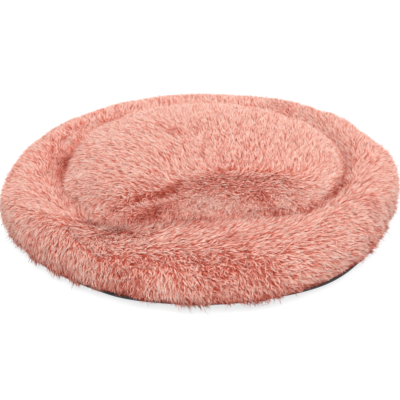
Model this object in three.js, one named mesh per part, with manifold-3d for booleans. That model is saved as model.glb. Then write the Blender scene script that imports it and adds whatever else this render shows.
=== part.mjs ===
// Donut pet bed: a low ring bolster round a domed centre pad, both in long-pile fur, on a cloth base with a zip.
// Millimetres, +Z up. The origin is the middle of the base, on the floor. +X is to the right, -Y is the front.

import * as THREE from 'three';
import { mergeVertices } from 'three/addons/utils/BufferGeometryUtils.js';
import Module from 'manifold-3d';

const wasm = await Module();
wasm.setup();

// Driving dimensions of the bed
const bedRadius = 500;
const ringWidth = 150;
const ringHeight = 114;
const valleyHeight = 86;
const domeHeight = 152;

// Thicknesses of the layers, and the room between them
const furThickness = 14;
const clothThickness = 2;
const bagThickness = 1.5;
const baffleThickness = 2;
const layerGap = 0.35;
const seamGap = 0.6;

// Driving dimensions of the zip
const coilWidth = 2.2;
const coilHeight = 2.2;
const tapeWidth = 14;
const tapeThickness = 0.8;
const sliderLength = 12;
const plateThickness = 0.9;
const postThickness = 0.8;
const postLength = 2;
const bridgeLength = 6;
const bridgeWidth = 2.4;
const bridgeThickness = 0.8;
const pinDiameter = 1.2;
const tabLength = 25;
const tabArmWidth = 1.8;
const tabArmLength = 7;
const stopLength = 3.5;
const runningGap = 0.4;
const slotRoom = 1.5;
const floorRoom = 1.2;
const channelSideRoom = 3;
const channelSlope = 6;
const channelEndRoom = 2;
const channelToBaffle = 32;
const tapeToChannelEnd = 2;
const overrun = 5;

// Counts
const stations = 64;
const panelCount = 4;
const furSteps = 10;
const domeSteps = 8;
const curlSteps = 3;
const pinSides = 12;
const cornerSteps = 3;

// Plan: for each twenty-fourth of a turn from +X, anticlockwise seen from above, the widest line's share of the
// bed's radius, and the ring's share of its nominal width. The ring is widest at the front, where it lies flattest.
const planShares = [
  [0.990, 0.93], [0.955, 0.85], [0.975, 0.91], [0.955, 0.83], [0.930, 0.78], [0.940, 0.83],
  [0.975, 0.95], [0.995, 1.00], [0.975, 0.92], [0.965, 0.85], [0.980, 0.91], [0.980, 0.98],
  [0.985, 1.00], [1.000, 1.00], [0.985, 0.92], [0.975, 0.87], [0.970, 0.93], [0.980, 1.32],
  [0.990, 1.45], [0.995, 1.38], [1.000, 1.19], [0.980, 0.93], [0.960, 0.82], [0.970, 0.86],
];

// Ring section from the edge of the flat base, round the outside and over the crown towards the valley:
// share of the ring's width inboard of its widest line, and share of the ring's height.
const ringSectionShares = [
  [0.20, 0.00], [0.06, 0.12], [0.00, 0.34], [0.03, 0.60], [0.14, 0.84],
  [0.32, 0.97], [0.50, 1.00], [0.70, 0.97], [0.88, 0.88],
];

// Centre pad section from its rim to its middle: share of its radius, and share of its rise over the valley.
const domeSectionShares = [
  [1.00, 0.00], [0.97, 0.27], [0.90, 0.50], [0.79, 0.68],
  [0.63, 0.83], [0.44, 0.93], [0.22, 0.985], [0.00, 1.00],
];

// Where the fur ends and the base cloth begins, as a share of the way along the ring section.
const seamPathShare = 0.13;

// Broad dips pressed into the fur: place as shares of a turn and of the bed's radius, heading as a share of a
// turn, half length and half width as shares of the bed's radius, depth as a share of the fur's thickness.
const dipShares = [
  { turn: 0.430, radius: 0.71, heading: 0.180, length: 0.26, width: 0.070, depth: 0.60 },
  { turn: 0.672, radius: 0.55, heading: 0.025, length: 0.20, width: 0.060, depth: 0.65 },
  { turn: 0.829, radius: 0.59, heading: 0.020, length: 0.13, width: 0.055, depth: 0.55 },
  { turn: 0.965, radius: 0.66, heading: 0.215, length: 0.10, width: 0.040, depth: 0.40 },
];

const deepestDipShare = 0.7;

// Places worked out from the driving dimensions
const TURN = 2 * Math.PI;
const UP = new THREE.Vector2(0, 1);
const DOWN = new THREE.Vector2(0, -1);

const bagTopDepth = furThickness + layerGap;
const bagInnerDepth = bagTopDepth + bagThickness;
const fillDepth = bagInnerDepth + layerGap;
const bagBaseHeight = clothThickness + layerGap;
const bagInnerHeight = bagBaseHeight + bagThickness;
const fillBaseHeight = bagInnerHeight + layerGap;
const baffleRoom = baffleThickness / 2 + layerGap;

// Zip across the bed: half spaces measured from the middle line, and heights from the floor up
const coilInner = postThickness / 2 + layerGap;
const coilOuter = coilInner + coilWidth;
const tapeInner = coilInner + layerGap / 2;
const tapeOuter = tapeInner + tapeWidth;
const sliderHalfWidth = coilOuter + runningGap + plateThickness;
const slotHalfWidth = sliderHalfWidth + slotRoom;
const channelTopHalf = tapeOuter + channelSideRoom;
const channelFloorHalf = channelTopHalf + channelSlope;

const bridgeBottom = floorRoom;
const bridgeTop = bridgeBottom + bridgeThickness;
const pinHeight = bridgeTop + runningGap + pinDiameter / 2;
const lowerPlateBottom = pinHeight + pinDiameter / 2 + runningGap;
const lowerPlateTop = lowerPlateBottom + plateThickness;
const coilBottom = lowerPlateTop + runningGap;
const tapeBottom = coilBottom + coilHeight + layerGap;
const tapeTop = tapeBottom + tapeThickness;
const upperPlateBottom = tapeTop + runningGap;
const upperPlateTop = upperPlateBottom + plateThickness;
const channelDepth = tapeTop + layerGap;
const ridgeHeight = Math.max(channelDepth + clothThickness, upperPlateTop);

const furColour = 0xdc9b8c;
const furRoughness = 0.95;
const furMaterial = () => finish(furColour, furRoughness, 0);
const clothMaterial = () => finish(0x3a3a3e, 0.85, 0);
const bagMaterial = () => finish(0xe9e7e2, 0.9, 0);
const fillingMaterial = () => finish(0xf6f5f1, 1, 0);
const tapeMaterial = () => finish(0x2b2b2e, 0.8, 0);
const coilMaterial = () => finish(0x1f1f21, 0.45, 0);
const metalMaterial = () => finish(0x55565a, 0.35, 0.9);

function finish(color, roughness, metalness) {
  return new THREE.MeshStandardMaterial({ color, roughness, metalness });
}

// Plan and section curves
const planCurve = new THREE.CatmullRomCurve3(
  planShares.map(([radius, width]) => new THREE.Vector3(radius, width, 0)), true, 'catmullrom',
);
const ringSection = new THREE.SplineCurve([
  ...ringSectionShares.map(([inboard, height]) => new THREE.Vector2(inboard, height)),
  new THREE.Vector2(1, valleyHeight / ringHeight),
]);
const domeSection = new THREE.SplineCurve(
  domeSectionShares.map(([radius, height]) => new THREE.Vector2(radius, height)),
);

// The bed's plan in one direction: its widest radius, the ring's span, the valley line and the pad's radius.
function planAt(turn) {
  const shares = planCurve.getPoint(((turn % 1) + 1) % 1);
  const outer = bedRadius * shares.x;
  const width = ringWidth * shares.y;
  return { outer, span: width - seamGap / 2, valley: outer - width, pad: outer - width - seamGap / 2 };
}

// Turns a path's direction into the direction square to it that points into the stuffing.
function inwardOf(direction) {
  return new THREE.Vector2(-direction.y, direction.x).normalize();
}

// A point (radius, height) of the ring, at a share of the way along its section and a depth under its surface.
function ringPoint(turn, path, depth) {
  const { outer, span } = planAt(turn);
  const shares = ringSection.getPoint(path);
  const tangent = ringSection.getTangent(path);
  let inward = inwardOf(new THREE.Vector2(-span * tangent.x, ringHeight * tangent.y));
  if (path === 0) inward = UP;
  if (path === 1) inward = DOWN;
  const surface = new THREE.Vector2(outer - span * shares.x, ringHeight * shares.y);
  return surface.addScaledVector(inward, depth);
}

// The same for the centre pad: the path runs from its rim to its middle.
function domePoint(turn, path, depth) {
  const { pad } = planAt(turn);
  const rise = domeHeight - valleyHeight;
  const shares = domeSection.getPoint(path);
  const tangent = domeSection.getTangent(path);
  let inward = inwardOf(new THREE.Vector2(pad * tangent.x, rise * tangent.y));
  if (path === 0 || path === 1) inward = DOWN;
  const surface = new THREE.Vector2(pad * shares.x, valleyHeight + rise * shares.y);
  return surface.addScaledVector(inward, depth);
}

// How far the dips press the fur in at one place: a smooth mound turned upside down for each dip.
function dipDepth(turn, radius) {
  const x = radius * Math.cos(turn * TURN);
  const y = radius * Math.sin(turn * TURN);
  let depth = 0;
  for (const dip of dipShares) {
    const dx = x - dip.radius * bedRadius * Math.cos(dip.turn * TURN);
    const dy = y - dip.radius * bedRadius * Math.sin(dip.turn * TURN);
    const cos = Math.cos(dip.heading * TURN);
    const sin = Math.sin(dip.heading * TURN);
    const along = (dx * cos + dy * sin) / (dip.length * bedRadius);
    const across = (dy * cos - dx * sin) / (dip.width * bedRadius);
    depth += dip.depth * furThickness * Math.exp(-along * along - across * across);
  }
  return Math.min(depth, deepestDipShare * furThickness);
}

// The fur's outer surface, with its dips
function furRingPoint(turn, path) {
  return ringPoint(turn, path, dipDepth(turn, ringPoint(turn, path, 0).x));
}

function furDomePoint(turn, path) {
  return domePoint(turn, path, dipDepth(turn, domePoint(turn, path, 0).x));
}

// The path that lies a short distance back along the ring section.
function pathBack(turn, path, distance) {
  const probe = path / stations;
  const step = ringPoint(turn, path, 0).distanceTo(ringPoint(turn, path - probe, 0));
  return path - (probe * distance) / step;
}

// Even shares from one value to another, both ends included.
function evenSteps(from, to, count) {
  return Array.from({ length: count + 1 }, (_, i) => from * (1 - i / count) + to * (i / count));
}

// Merges shared corners, and drops the triangles that close up to a line on the axis.
function closedGeometry(positions, triangles) {
  const loose = new THREE.BufferGeometry();
  loose.setAttribute('position', new THREE.Float32BufferAttribute(positions, 3));
  loose.setIndex(triangles);
  const geometry = mergeVertices(loose);
  const old = geometry.index.array;
  const kept = [];
  for (let i = 0; i < old.length; i += 3) {
    const [a, b, c] = [old[i], old[i + 1], old[i + 2]];
    if (a !== b && b !== c && c !== a) kept.push(a, b, c);
  }
  geometry.setIndex(kept);
  geometry.computeVertexNormals();
  return geometry;
}

// Two triangles for four corners, parted along the shorter diagonal, so that layers that lie on each other fold
// along the same lines.
function splitQuad(points, a, b, c, d) {
  const isShort = points[a].distanceTo(points[c]) <= points[b].distanceTo(points[d]);
  return isShort ? [a, b, c, a, c, d] : [a, b, d, b, c, d];
}

// A solid swept round the bed's axis. Its section is a closed loop of (radius, height) points, anticlockwise,
// worked out afresh at each turn, so the solid can follow the bed's uneven plan.
function sweptSolid(sectionAt, turns, goesRound) {
  const sections = turns.map((turn) => sectionAt(turn));
  const count = sections[0].length;
  const points = sections.flatMap((section, i) => section.map((point) => new THREE.Vector3(
    point.x * Math.cos(turns[i] * TURN), point.x * Math.sin(turns[i] * TURN), point.y,
  )));
  const triangles = [];
  const spans = goesRound ? turns.length : turns.length - 1;
  for (let i = 0; i < spans; i += 1) {
    const here = i * count;
    const next = ((i + 1) % turns.length) * count;
    for (let j = 0; j < count; j += 1) {
      const k = (j + 1) % count;
      triangles.push(...splitQuad(points, here + j, next + j, next + k, here + k));
    }
  }
  if (!goesRound) {
    const last = (turns.length - 1) * count;
    for (const [a, b, c] of THREE.ShapeUtils.triangulateShape(sections[0], [])) triangles.push(a, b, c);
    for (const [a, b, c] of THREE.ShapeUtils.triangulateShape(sections.at(-1), [])) {
      triangles.push(last + a, last + c, last + b);
    }
  }
  return closedGeometry(points.flatMap((point) => point.toArray()), triangles);
}

// Cuts and joins
function toSolid(geometry) {
  const bare = geometry.clone();
  bare.deleteAttribute('normal');
  bare.deleteAttribute('uv');
  const merged = mergeVertices(bare);
  return new wasm.Manifold(new wasm.Mesh({
    numProp: 3,
    vertProperties: new Float32Array(merged.attributes.position.array),
    triVerts: new Uint32Array(merged.index.array),
  }));
}

function fromSolid(solid) {
  const mesh = solid.getMesh();
  const geometry = new THREE.BufferGeometry();
  geometry.setAttribute('position', new THREE.Float32BufferAttribute(mesh.vertProperties, 3));
  geometry.setIndex(Array.from(mesh.triVerts));
  geometry.computeVertexNormals();
  return geometry;
}

// A box between two corners
function boxBetween(low, high) {
  const size = high.map((value, i) => value - low[i]);
  const geometry = new THREE.BoxGeometry(...size);
  return geometry.translate(...low.map((value, i) => value + size[i] / 2));
}

// A flat plate: an outline of (x, y) points with rounded corners, or a hole, raised from one height to another.
function plateBetween(shape, bottom, top) {
  const geometry = new THREE.ExtrudeGeometry(shape, {
    depth: top - bottom, bevelEnabled: false, curveSegments: cornerSteps,
  });
  return geometry.translate(0, 0, bottom);
}

function roundedOutline(left, right, halfWidth, corner) {
  const outline = new THREE.Shape();
  outline.moveTo(left + corner, -halfWidth);
  outline.lineTo(right - corner, -halfWidth);
  outline.absarc(right - corner, corner - halfWidth, corner, -Math.PI / 2, 0, false);
  outline.lineTo(right, halfWidth - corner);
  outline.absarc(right - corner, halfWidth - corner, corner, 0, Math.PI / 2, false);
  outline.lineTo(left + corner, halfWidth);
  outline.absarc(left + corner, halfWidth - corner, corner, Math.PI / 2, Math.PI, false);
  outline.lineTo(left, corner - halfWidth);
  outline.absarc(left + corner, corner - halfWidth, corner, Math.PI, Math.PI * 1.5, false);
  return outline;
}

// The bar of trapezoid section that the zip's channel cuts out of a layer, grown sideways with that layer's place
// over the channel. Its sides slope from the floor up to its top, and it lies along X.
function channelBar(bottom, top, grow) {
  const footHalf = channelFloorHalf + grow + ((channelTopHalf - channelFloorHalf) * bottom) / top;
  const topHalf = channelTopHalf + grow;
  const outline = new THREE.Shape([
    new THREE.Vector2(-footHalf, bottom),
    new THREE.Vector2(footHalf, bottom),
    new THREE.Vector2(topHalf, top),
    new THREE.Vector2(-topHalf, top),
  ]);
  const half = channelHalfLength + grow;
  const bar = new THREE.ExtrudeGeometry(outline, { depth: 2 * half, bevelEnabled: false });
  bar.rotateX(Math.PI / 2).rotateZ(Math.PI / 2);
  return toSolid(bar.translate(-half, 0, 0));
}

// The zip's channel fits inside the baffle wall, along X.
const channelHalfLength = Math.min(planAt(0).pad, planAt(0.5).pad) - channelToBaffle;
const coilHalfLength = channelHalfLength - tabLength - channelEndRoom;
const tapeHalfLength = channelHalfLength - tapeToChannelEnd;
const sliderRestX = coilHalfLength - runningGap - sliderLength / 2;

// All turns of a full round, and the sample paths of the fur and of the layers under it
const fullTurns = evenSteps(0, 1, stations).slice(0, stations);
const furPaths = evenSteps(seamPathShare, 1, furSteps);
const domePaths = evenSteps(0, 1, domeSteps);
const ringLayerPaths = furPaths.filter((_, i) => i % 2 === 0 || i > furSteps / 2);
const domeLayerPaths = domePaths.filter((_, i) => i % 2 === 0 || i === 1);

const bed = new THREE.Group();

function addPiece(name, geometry, material, parent = bed) {
  const mesh = new THREE.Mesh(geometry, material);
  mesh.name = name;
  parent.add(mesh);
  return mesh;
}

// Fur covers: four ring panels, seamed to each other at the quarters, and the round centre panel
function ringFurSection(turn) {
  const outside = furPaths.map((path) => furRingPoint(turn, path));
  const inside = furPaths.map((path) => ringPoint(turn, path, furThickness));
  return [...outside, ...inside.reverse()];
}

function ringFurPanel(index) {
  const stationsEach = stations / panelCount;
  const first = (index - 1 / 2) * stationsEach;
  const turnGap = seamGap / 2 / (TURN * planAt(first / stations).valley);
  const turns = evenSteps(first, first + stationsEach, stationsEach).map((station) => station / stations);
  turns[0] += turnGap;
  turns[stationsEach] -= turnGap;
  return sweptSolid(ringFurSection, turns, false);
}

['right', 'back', 'left', 'front'].forEach((side, index) => {
  addPiece(`ring_fur_${side}`, ringFurPanel(index), furMaterial());
});

function centreFurSection(turn) {
  const outside = domePaths.map((path) => furDomePoint(turn, path));
  const inside = domePaths.map((path) => domePoint(turn, path, furThickness));
  return [...outside, ...inside.reverse()];
}

addPiece('centre_fur', sweptSolid(centreFurSection, fullTurns, true), furMaterial());

// Base cloth: a flat disc whose edge curls up to the fur's lower seam. A ridge folds up over the zip's channel,
// and the zip's slot and the seams beyond it part the front half from the back half.
function baseClothSection(turn) {
  const paths = evenSteps(0, pathBack(turn, seamPathShare, seamGap), curlSteps);
  const under = paths.map((path) => ringPoint(turn, path, 0));
  const over = paths.map((path) => ringPoint(turn, path, clothThickness));
  return [new THREE.Vector2(0, 0), ...under, ...over.reverse(), new THREE.Vector2(0, clothThickness)];
}

function baseClothSolid() {
  const sheet = toSolid(sweptSolid(baseClothSection, fullTurns, true));
  const ridge = channelBar(clothThickness / 2, channelDepth + clothThickness, clothThickness);
  const channel = channelBar(-overrun, channelDepth, 0);
  const slot = toSolid(boxBetween(
    [-channelHalfLength, -slotHalfWidth, -overrun],
    [channelHalfLength, slotHalfWidth, ridgeHeight + overrun],
  ));
  return sheet.add(ridge).subtract(channel).subtract(slot);
}

function halfSpace(side) {
  const reach = 2 * bedRadius;
  const near = (side * seamGap) / 2;
  const far = side * reach;
  return toSolid(boxBetween([-reach, Math.min(near, far), -reach], [reach, Math.max(near, far), reach]));
}

const baseCloth = baseClothSolid();
addPiece('base_cloth_front', fromSolid(baseCloth.intersect(halfSpace(-1))), clothMaterial());
addPiece('base_cloth_back', fromSolid(baseCloth.intersect(halfSpace(1))), clothMaterial());

// Inner bag: its top sheet follows the fur of ring and centre through the valley, and its base sheet lies on the
// base cloth and folds over the zip.
function bagTopSection(turn) {
  const { valley } = planAt(turn);
  const layer = (depth) => [
    ...ringLayerPaths.slice(0, -1).map((path) => ringPoint(turn, path, depth)),
    new THREE.Vector2(valley, valleyHeight - depth - layerGap),
    ...domeLayerPaths.slice(1).map((path) => domePoint(turn, path, depth)),
  ];
  return [...layer(bagTopDepth), ...layer(bagInnerDepth).reverse()];
}

addPiece('inner_bag_top', sweptSolid(bagTopSection, fullTurns, true), bagMaterial());

function bagBaseSection(turn) {
  const flatEdge = ringPoint(turn, 0, 0).x;
  const rim = pathBack(turn, seamPathShare, seamGap);
  return [
    new THREE.Vector2(0, bagBaseHeight),
    new THREE.Vector2(flatEdge, bagBaseHeight),
    ringPoint(turn, rim, bagTopDepth),
    ringPoint(turn, rim, bagInnerDepth),
    new THREE.Vector2(flatEdge - bagThickness, bagInnerHeight),
    new THREE.Vector2(0, bagInnerHeight),
  ];
}

function bagBaseSolid() {
  const sheet = toSolid(sweptSolid(bagBaseSection, fullTurns, true));
  const inside = clothThickness + layerGap;
  const outside = inside + bagThickness;
  const ridge = channelBar(bagBaseHeight + bagThickness / 2, ridgeHeight + layerGap + bagThickness, outside);
  const hollow = channelBar(-overrun, ridgeHeight + layerGap, inside);
  return sheet.add(ridge).subtract(hollow);
}

addPiece('inner_bag_base', fromSolid(bagBaseSolid()), bagMaterial());

// Baffle wall under the valley, and the two fillings that it keeps apart
function baffleSection(turn) {
  const { valley } = planAt(turn);
  const low = fillBaseHeight;
  const high = valleyHeight - fillDepth - layerGap;
  return [
    new THREE.Vector2(valley - baffleThickness / 2, low),
    new THREE.Vector2(valley + baffleThickness / 2, low),
    new THREE.Vector2(valley + baffleThickness / 2, high),
    new THREE.Vector2(valley - baffleThickness / 2, high),
  ];
}

addPiece('baffle_wall', sweptSolid(baffleSection, fullTurns, true), bagMaterial());

function ringFillingSection(turn) {
  const { valley } = planAt(turn);
  const wall = valley + baffleRoom;
  const flatEdge = ringPoint(turn, 0, 0).x - bagThickness - layerGap;
  return [
    new THREE.Vector2(wall, fillBaseHeight),
    new THREE.Vector2(flatEdge, fillBaseHeight),
    ...ringLayerPaths.slice(0, -1).map((path) => ringPoint(turn, path, fillDepth)),
    new THREE.Vector2(wall, valleyHeight - fillDepth - layerGap),
  ];
}

addPiece('ring_filling', sweptSolid(ringFillingSection, fullTurns, true), fillingMaterial());

function padFillingSection(turn) {
  const { valley } = planAt(turn);
  const wall = valley - baffleRoom;
  return [
    new THREE.Vector2(0, fillBaseHeight),
    new THREE.Vector2(wall, fillBaseHeight),
    new THREE.Vector2(wall, valleyHeight - fillDepth - layerGap),
    ...domeLayerPaths.slice(1).map((path) => domePoint(turn, path, fillDepth)),
  ];
}

function padFillingSolid() {
  const lens = toSolid(sweptSolid(padFillingSection, fullTurns, true));
  const grow = clothThickness + bagThickness + 2 * layerGap;
  return lens.subtract(channelBar(-overrun, ridgeHeight + 2 * layerGap + bagThickness, grow));
}

addPiece('pad_filling', fromSolid(padFillingSolid()), fillingMaterial());

// Zip: tapes sewn under the hems of the base cloth, coil rows on the tapes' inner edges, and stops at their ends
function addZipSide(name, side) {
  const across = (near, far) => [Math.min(side * near, side * far), Math.max(side * near, side * far)];
  const [tapeLow, tapeHigh] = across(tapeInner, tapeOuter);
  const [coilLow, coilHigh] = across(coilInner, coilOuter);
  const coilTop = coilBottom + coilHeight;
  const stopStart = coilHalfLength + layerGap;
  addPiece(`zip_tape_${name}`, boxBetween(
    [-tapeHalfLength, tapeLow, tapeBottom], [tapeHalfLength, tapeHigh, tapeTop],
  ), tapeMaterial());
  const coilOutline = roundedOutline(-coilHeight / 2, coilHeight / 2, coilWidth / 2, coilWidth / 4);
  const coil = plateBetween(coilOutline, -coilHalfLength, coilHalfLength).rotateY(Math.PI / 2);
  addPiece(`zip_coil_${name}`, coil, coilMaterial())
    .position.set(0, (coilLow + coilHigh) / 2, (coilBottom + coilTop) / 2);
  addPiece(`zip_top_stop_${name}`, boxBetween(
    [stopStart, coilLow, coilBottom], [stopStart + stopLength, coilHigh, coilTop],
  ), metalMaterial());
}

addZipSide('front', -1);
addZipSide('back', 1);
addPiece('zip_bottom_stop', boxBetween(
  [-coilHalfLength - layerGap - stopLength, -coilOuter, coilBottom],
  [-coilHalfLength - layerGap, coilOuter, coilBottom + coilHeight],
), metalMaterial());

// Slider: two plates joined by a post between the coil rows, with side flanges, and a bridge under the lower plate
// that holds the pull tab's pin. Drawn about the pin's place along X, at the height of the bed.
function sliderSolid() {
  const half = sliderLength / 2;
  const outline = roundedOutline(-half, half, sliderHalfWidth, plateThickness);
  const post = boxBetween(
    [half - 2 * postLength, -postThickness / 2, lowerPlateTop - plateThickness / 2],
    [half - postLength, postThickness / 2, upperPlateBottom + plateThickness / 2],
  );
  const flange = (side) => boxBetween(
    [-half + plateThickness, side > 0 ? sliderHalfWidth - plateThickness : -sliderHalfWidth,
      lowerPlateTop - plateThickness / 2],
    [half - plateThickness, side > 0 ? sliderHalfWidth : plateThickness - sliderHalfWidth,
      tapeBottom - runningGap],
  );
  const bridge = boxBetween(
    [-bridgeLength / 2, -bridgeWidth / 2, bridgeBottom],
    [bridgeLength / 2, bridgeWidth / 2, lowerPlateBottom + plateThickness / 2],
  );
  const bridgeHole = boxBetween(
    [bridgeThickness - bridgeLength / 2, -bridgeWidth, bridgeTop],
    [bridgeLength / 2 - bridgeThickness, bridgeWidth, lowerPlateBottom],
  );
  return toSolid(plateBetween(outline, lowerPlateBottom, lowerPlateTop))
    .add(toSolid(plateBetween(outline, upperPlateBottom, upperPlateTop)))
    .add(toSolid(post))
    .add(toSolid(flange(1)))
    .add(toSolid(flange(-1)))
    .add(toSolid(bridge).subtract(toSolid(bridgeHole)));
}

// Pull tab: a flat tongue with a window at one end, closed by the round pin that turns under the slider's bridge.
// Drawn about the pin's axis.
function pullTabSolid() {
  const windowHalf = bridgeWidth / 2 + runningGap;
  const halfWidth = windowHalf + tabArmWidth;
  const edge = pinDiameter / 4;
  const outline = roundedOutline(-tabLength, edge, halfWidth, edge);
  outline.holes.push(roundedOutline(-tabArmLength, -edge, windowHalf, edge));
  const tongue = plateBetween(outline, -pinDiameter / 2, pinDiameter / 2);
  const pin = new THREE.CylinderGeometry(pinDiameter / 2, pinDiameter / 2, 2 * halfWidth, pinSides);
  return toSolid(tongue).add(toSolid(pin));
}

const slider = new THREE.Group();
slider.position.x = sliderRestX;
bed.add(slider);
addPiece('zip_slider', fromSolid(sliderSolid()), metalMaterial(), slider);
addPiece('zip_pull_tab', fromSolid(pullTabSolid()), metalMaterial(), slider).position.z = pinHeight;

export default bed;
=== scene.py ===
# %% [markdown]
# # A donut pet bed in long-pile fur
# The bed is a low, fat ring sewn round a domed pad. Both are covered in long, silky faux fur, and a dark
# woven cloth closes them underneath. This lesson builds what shows round the solid parts that carry it:
# first the backing cloth, then tens of thousands of locks of pile, then the cloth, seams and zip of the
# base.
#
# Everything is in metres, with Z up, +X to the right and +Y to the back, as somebody in front of the bed
# sees it.

import math

import bmesh
import bpy
import numpy as np
from mathutils import Matrix


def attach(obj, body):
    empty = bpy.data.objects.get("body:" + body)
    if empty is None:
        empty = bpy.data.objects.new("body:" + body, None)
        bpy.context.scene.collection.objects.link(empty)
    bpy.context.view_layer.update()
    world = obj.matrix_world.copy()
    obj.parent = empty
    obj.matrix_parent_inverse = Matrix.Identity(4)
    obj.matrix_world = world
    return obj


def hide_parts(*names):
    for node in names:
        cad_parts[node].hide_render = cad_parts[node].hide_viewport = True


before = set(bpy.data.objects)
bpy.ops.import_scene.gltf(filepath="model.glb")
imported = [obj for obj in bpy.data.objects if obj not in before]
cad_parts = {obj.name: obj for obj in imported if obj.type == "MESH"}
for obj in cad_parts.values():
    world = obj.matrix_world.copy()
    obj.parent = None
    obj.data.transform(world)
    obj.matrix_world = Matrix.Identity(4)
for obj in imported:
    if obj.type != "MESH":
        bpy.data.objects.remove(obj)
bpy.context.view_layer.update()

# %% [markdown]
# ## Camera, floor and light
# The bed is seen from the front and from 30 degrees above the floor, close enough to fill the picture. A
# camera could be placed by eye, but here its place follows from four plain values: how high it stands, how
# far off, what it looks at, and how much it is tilted about its own line of sight. The first two were chosen
# from a few tries. A separate program fitted the others and the lens to the bed's outline in the photo.

# %% Camera
EYE_HEIGHT = math.radians(30.0)
EYE_DISTANCE = 1.6
EYE_TARGET = np.array([-0.0059, 0.0, -0.0306])
EYE_ROLL = math.radians(-1.9)
LENS_MM, SENSOR_MM = 54.3, 36.0


def aim_camera():
    """The camera stands on a line that rises from the target towards the viewer, and turns a little about
    it."""
    back = np.array([0.0, -math.cos(EYE_HEIGHT), math.sin(EYE_HEIGHT)])
    right = np.array([1.0, 0.0, 0.0])
    up = np.cross(back, right)
    turned_right = right * math.cos(EYE_ROLL) + up * math.sin(EYE_ROLL)
    turned_up = up * math.cos(EYE_ROLL) - right * math.sin(EYE_ROLL)
    data = bpy.data.cameras.new("eye")
    data.lens, data.sensor_width = LENS_MM, SENSOR_MM
    camera = bpy.data.objects.new("eye", data)
    bpy.context.scene.collection.objects.link(camera)
    place = np.eye(4)
    place[:3, 0], place[:3, 1], place[:3, 2] = turned_right, turned_up, back
    place[:3, 3] = EYE_TARGET + back * EYE_DISTANCE
    camera.matrix_world = Matrix(place.tolist())
    return camera


bpy.context.scene.camera = aim_camera()
bpy.context.scene.view_settings.view_transform = "Standard"

# %% [markdown]
# A material is a small graph of nodes. Five helpers keep each recipe short. They make a node and set its
# sockets and properties by name, start a material with a Principled shader, blend between colours, let a
# noise choose the colour, and bump the shading.

# %% Helpers for materials


def node(tree, kind, inputs=None, **settings):
    """Adds a node of that kind; inputs maps a socket's name or number to a value or to another node's
    output."""
    made = tree.nodes.new(kind)
    for name, value in settings.items():
        setattr(made, name, value)
    for name, value in (inputs or {}).items():
        if isinstance(value, bpy.types.NodeSocket):
            tree.links.new(value, made.inputs[name])
        else:
            made.inputs[name].default_value = value
    return made


def finish_named(name, **inputs):
    """A material with one Principled shader, whose sockets are set by name with spaces for underscores."""
    material = bpy.data.materials.new(name)
    material.use_nodes = True
    tree = material.node_tree
    shader = tree.nodes["Principled BSDF"]
    for key, value in inputs.items():
        shader.inputs[key.replace("_", " ")].default_value = value
    return material, tree, shader


def colour_ramp(tree, factor, stops):
    """Blends between colours given as (position, (red, green, blue)) in linear light."""
    ramp = node(tree, "ShaderNodeValToRGB", {"Fac": factor})
    points = ramp.color_ramp.elements
    while len(points) < len(stops):
        points.new(0.5)
    for point, (position, rgb) in zip(points, stops):
        point.position, point.color = position, (*rgb, 1.0)
    return ramp.outputs["Color"]


def flecked_finish(name, flecks, stops, **inputs):
    """A material whose colour runs through the stops by a noise in Object coordinates. Returns it with
    its tree, its shader and the place that its textures read."""
    material, tree, shader = finish_named(name, **inputs)
    place = node(tree, "ShaderNodeTexCoord").outputs["Object"]
    noise = node(tree, "ShaderNodeTexNoise", {"Vector": place, **flecks})
    tree.links.new(colour_ramp(tree, noise.outputs["Fac"], stops), shader.inputs["Base Color"])
    return material, tree, shader, place


def raise_by(tree, shader, height, distance, strength):
    """Bumps the shading by a height from 0 to 1 that stands for that distance."""
    bump = node(tree, "ShaderNodeBump", {"Height": height, "Distance": distance, "Strength": strength})
    tree.links.new(bump.outputs["Normal"], shader.inputs["Normal"])


# %% [markdown]
# The floor is a plain white sheet. White paper in a studio is lit a little brighter than the thing on it,
# so what the camera sees of the floor is lifted towards white by a faint glow, while the bed keeps its soft
# shadow.

# %% Floor and light
FLOOR_HALF, FLOOR_GLOW = 14.0, 0.70
SKY_STRENGTH = 0.54
SUN_STRENGTH = 2.8
SUN_SOFTNESS = math.radians(50.0)


def seen_or(tree, otherwise, seen):
    """One number for what the camera, a mirror or glass sees, and another for what lights the bed."""
    path = node(tree, "ShaderNodeLightPath")
    either = node(tree, "ShaderNodeMath", {0: path.outputs["Is Camera Ray"], 1: path.outputs["Is Glossy Ray"]},
                  operation="MAXIMUM")
    either = node(tree, "ShaderNodeMath", {0: either.outputs[0], 1: path.outputs["Is Transmission Ray"]},
                  operation="MAXIMUM")
    return node(tree, "ShaderNodeMath", {0: either.outputs[0], 1: seen - otherwise, 2: otherwise},
                operation="MULTIPLY_ADD").outputs[0]


def lay_floor():
    """A square grid of nine points at the height of the bed's lowest point."""
    side = np.linspace(-FLOOR_HALF, FLOOR_HALF, 3)
    x, y = np.meshgrid(side, side)
    points = np.stack([x, y, np.zeros_like(x)], -1).reshape(-1, 3)
    corner = (np.arange(2)[:, None] * 3 + np.arange(2)[None, :]).ravel()
    faces = np.stack([corner, corner + 1, corner + 4, corner + 3], -1)
    mesh = bpy.data.meshes.new("floor")
    mesh.from_pydata(points.tolist(), [], faces.tolist())
    floor = bpy.data.objects.new("floor", mesh)
    bpy.context.scene.collection.objects.link(floor)
    material, tree, shader = finish_named("studio_floor", Base_Color=(0.32, 0.32, 0.32, 1), Roughness=0.9)
    shader.inputs["Emission Color"].default_value = (1, 1, 1, 1)
    tree.links.new(seen_or(tree, 0.0, FLOOR_GLOW), shader.inputs["Emission Strength"])
    mesh.materials.append(material)
    return floor


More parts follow.
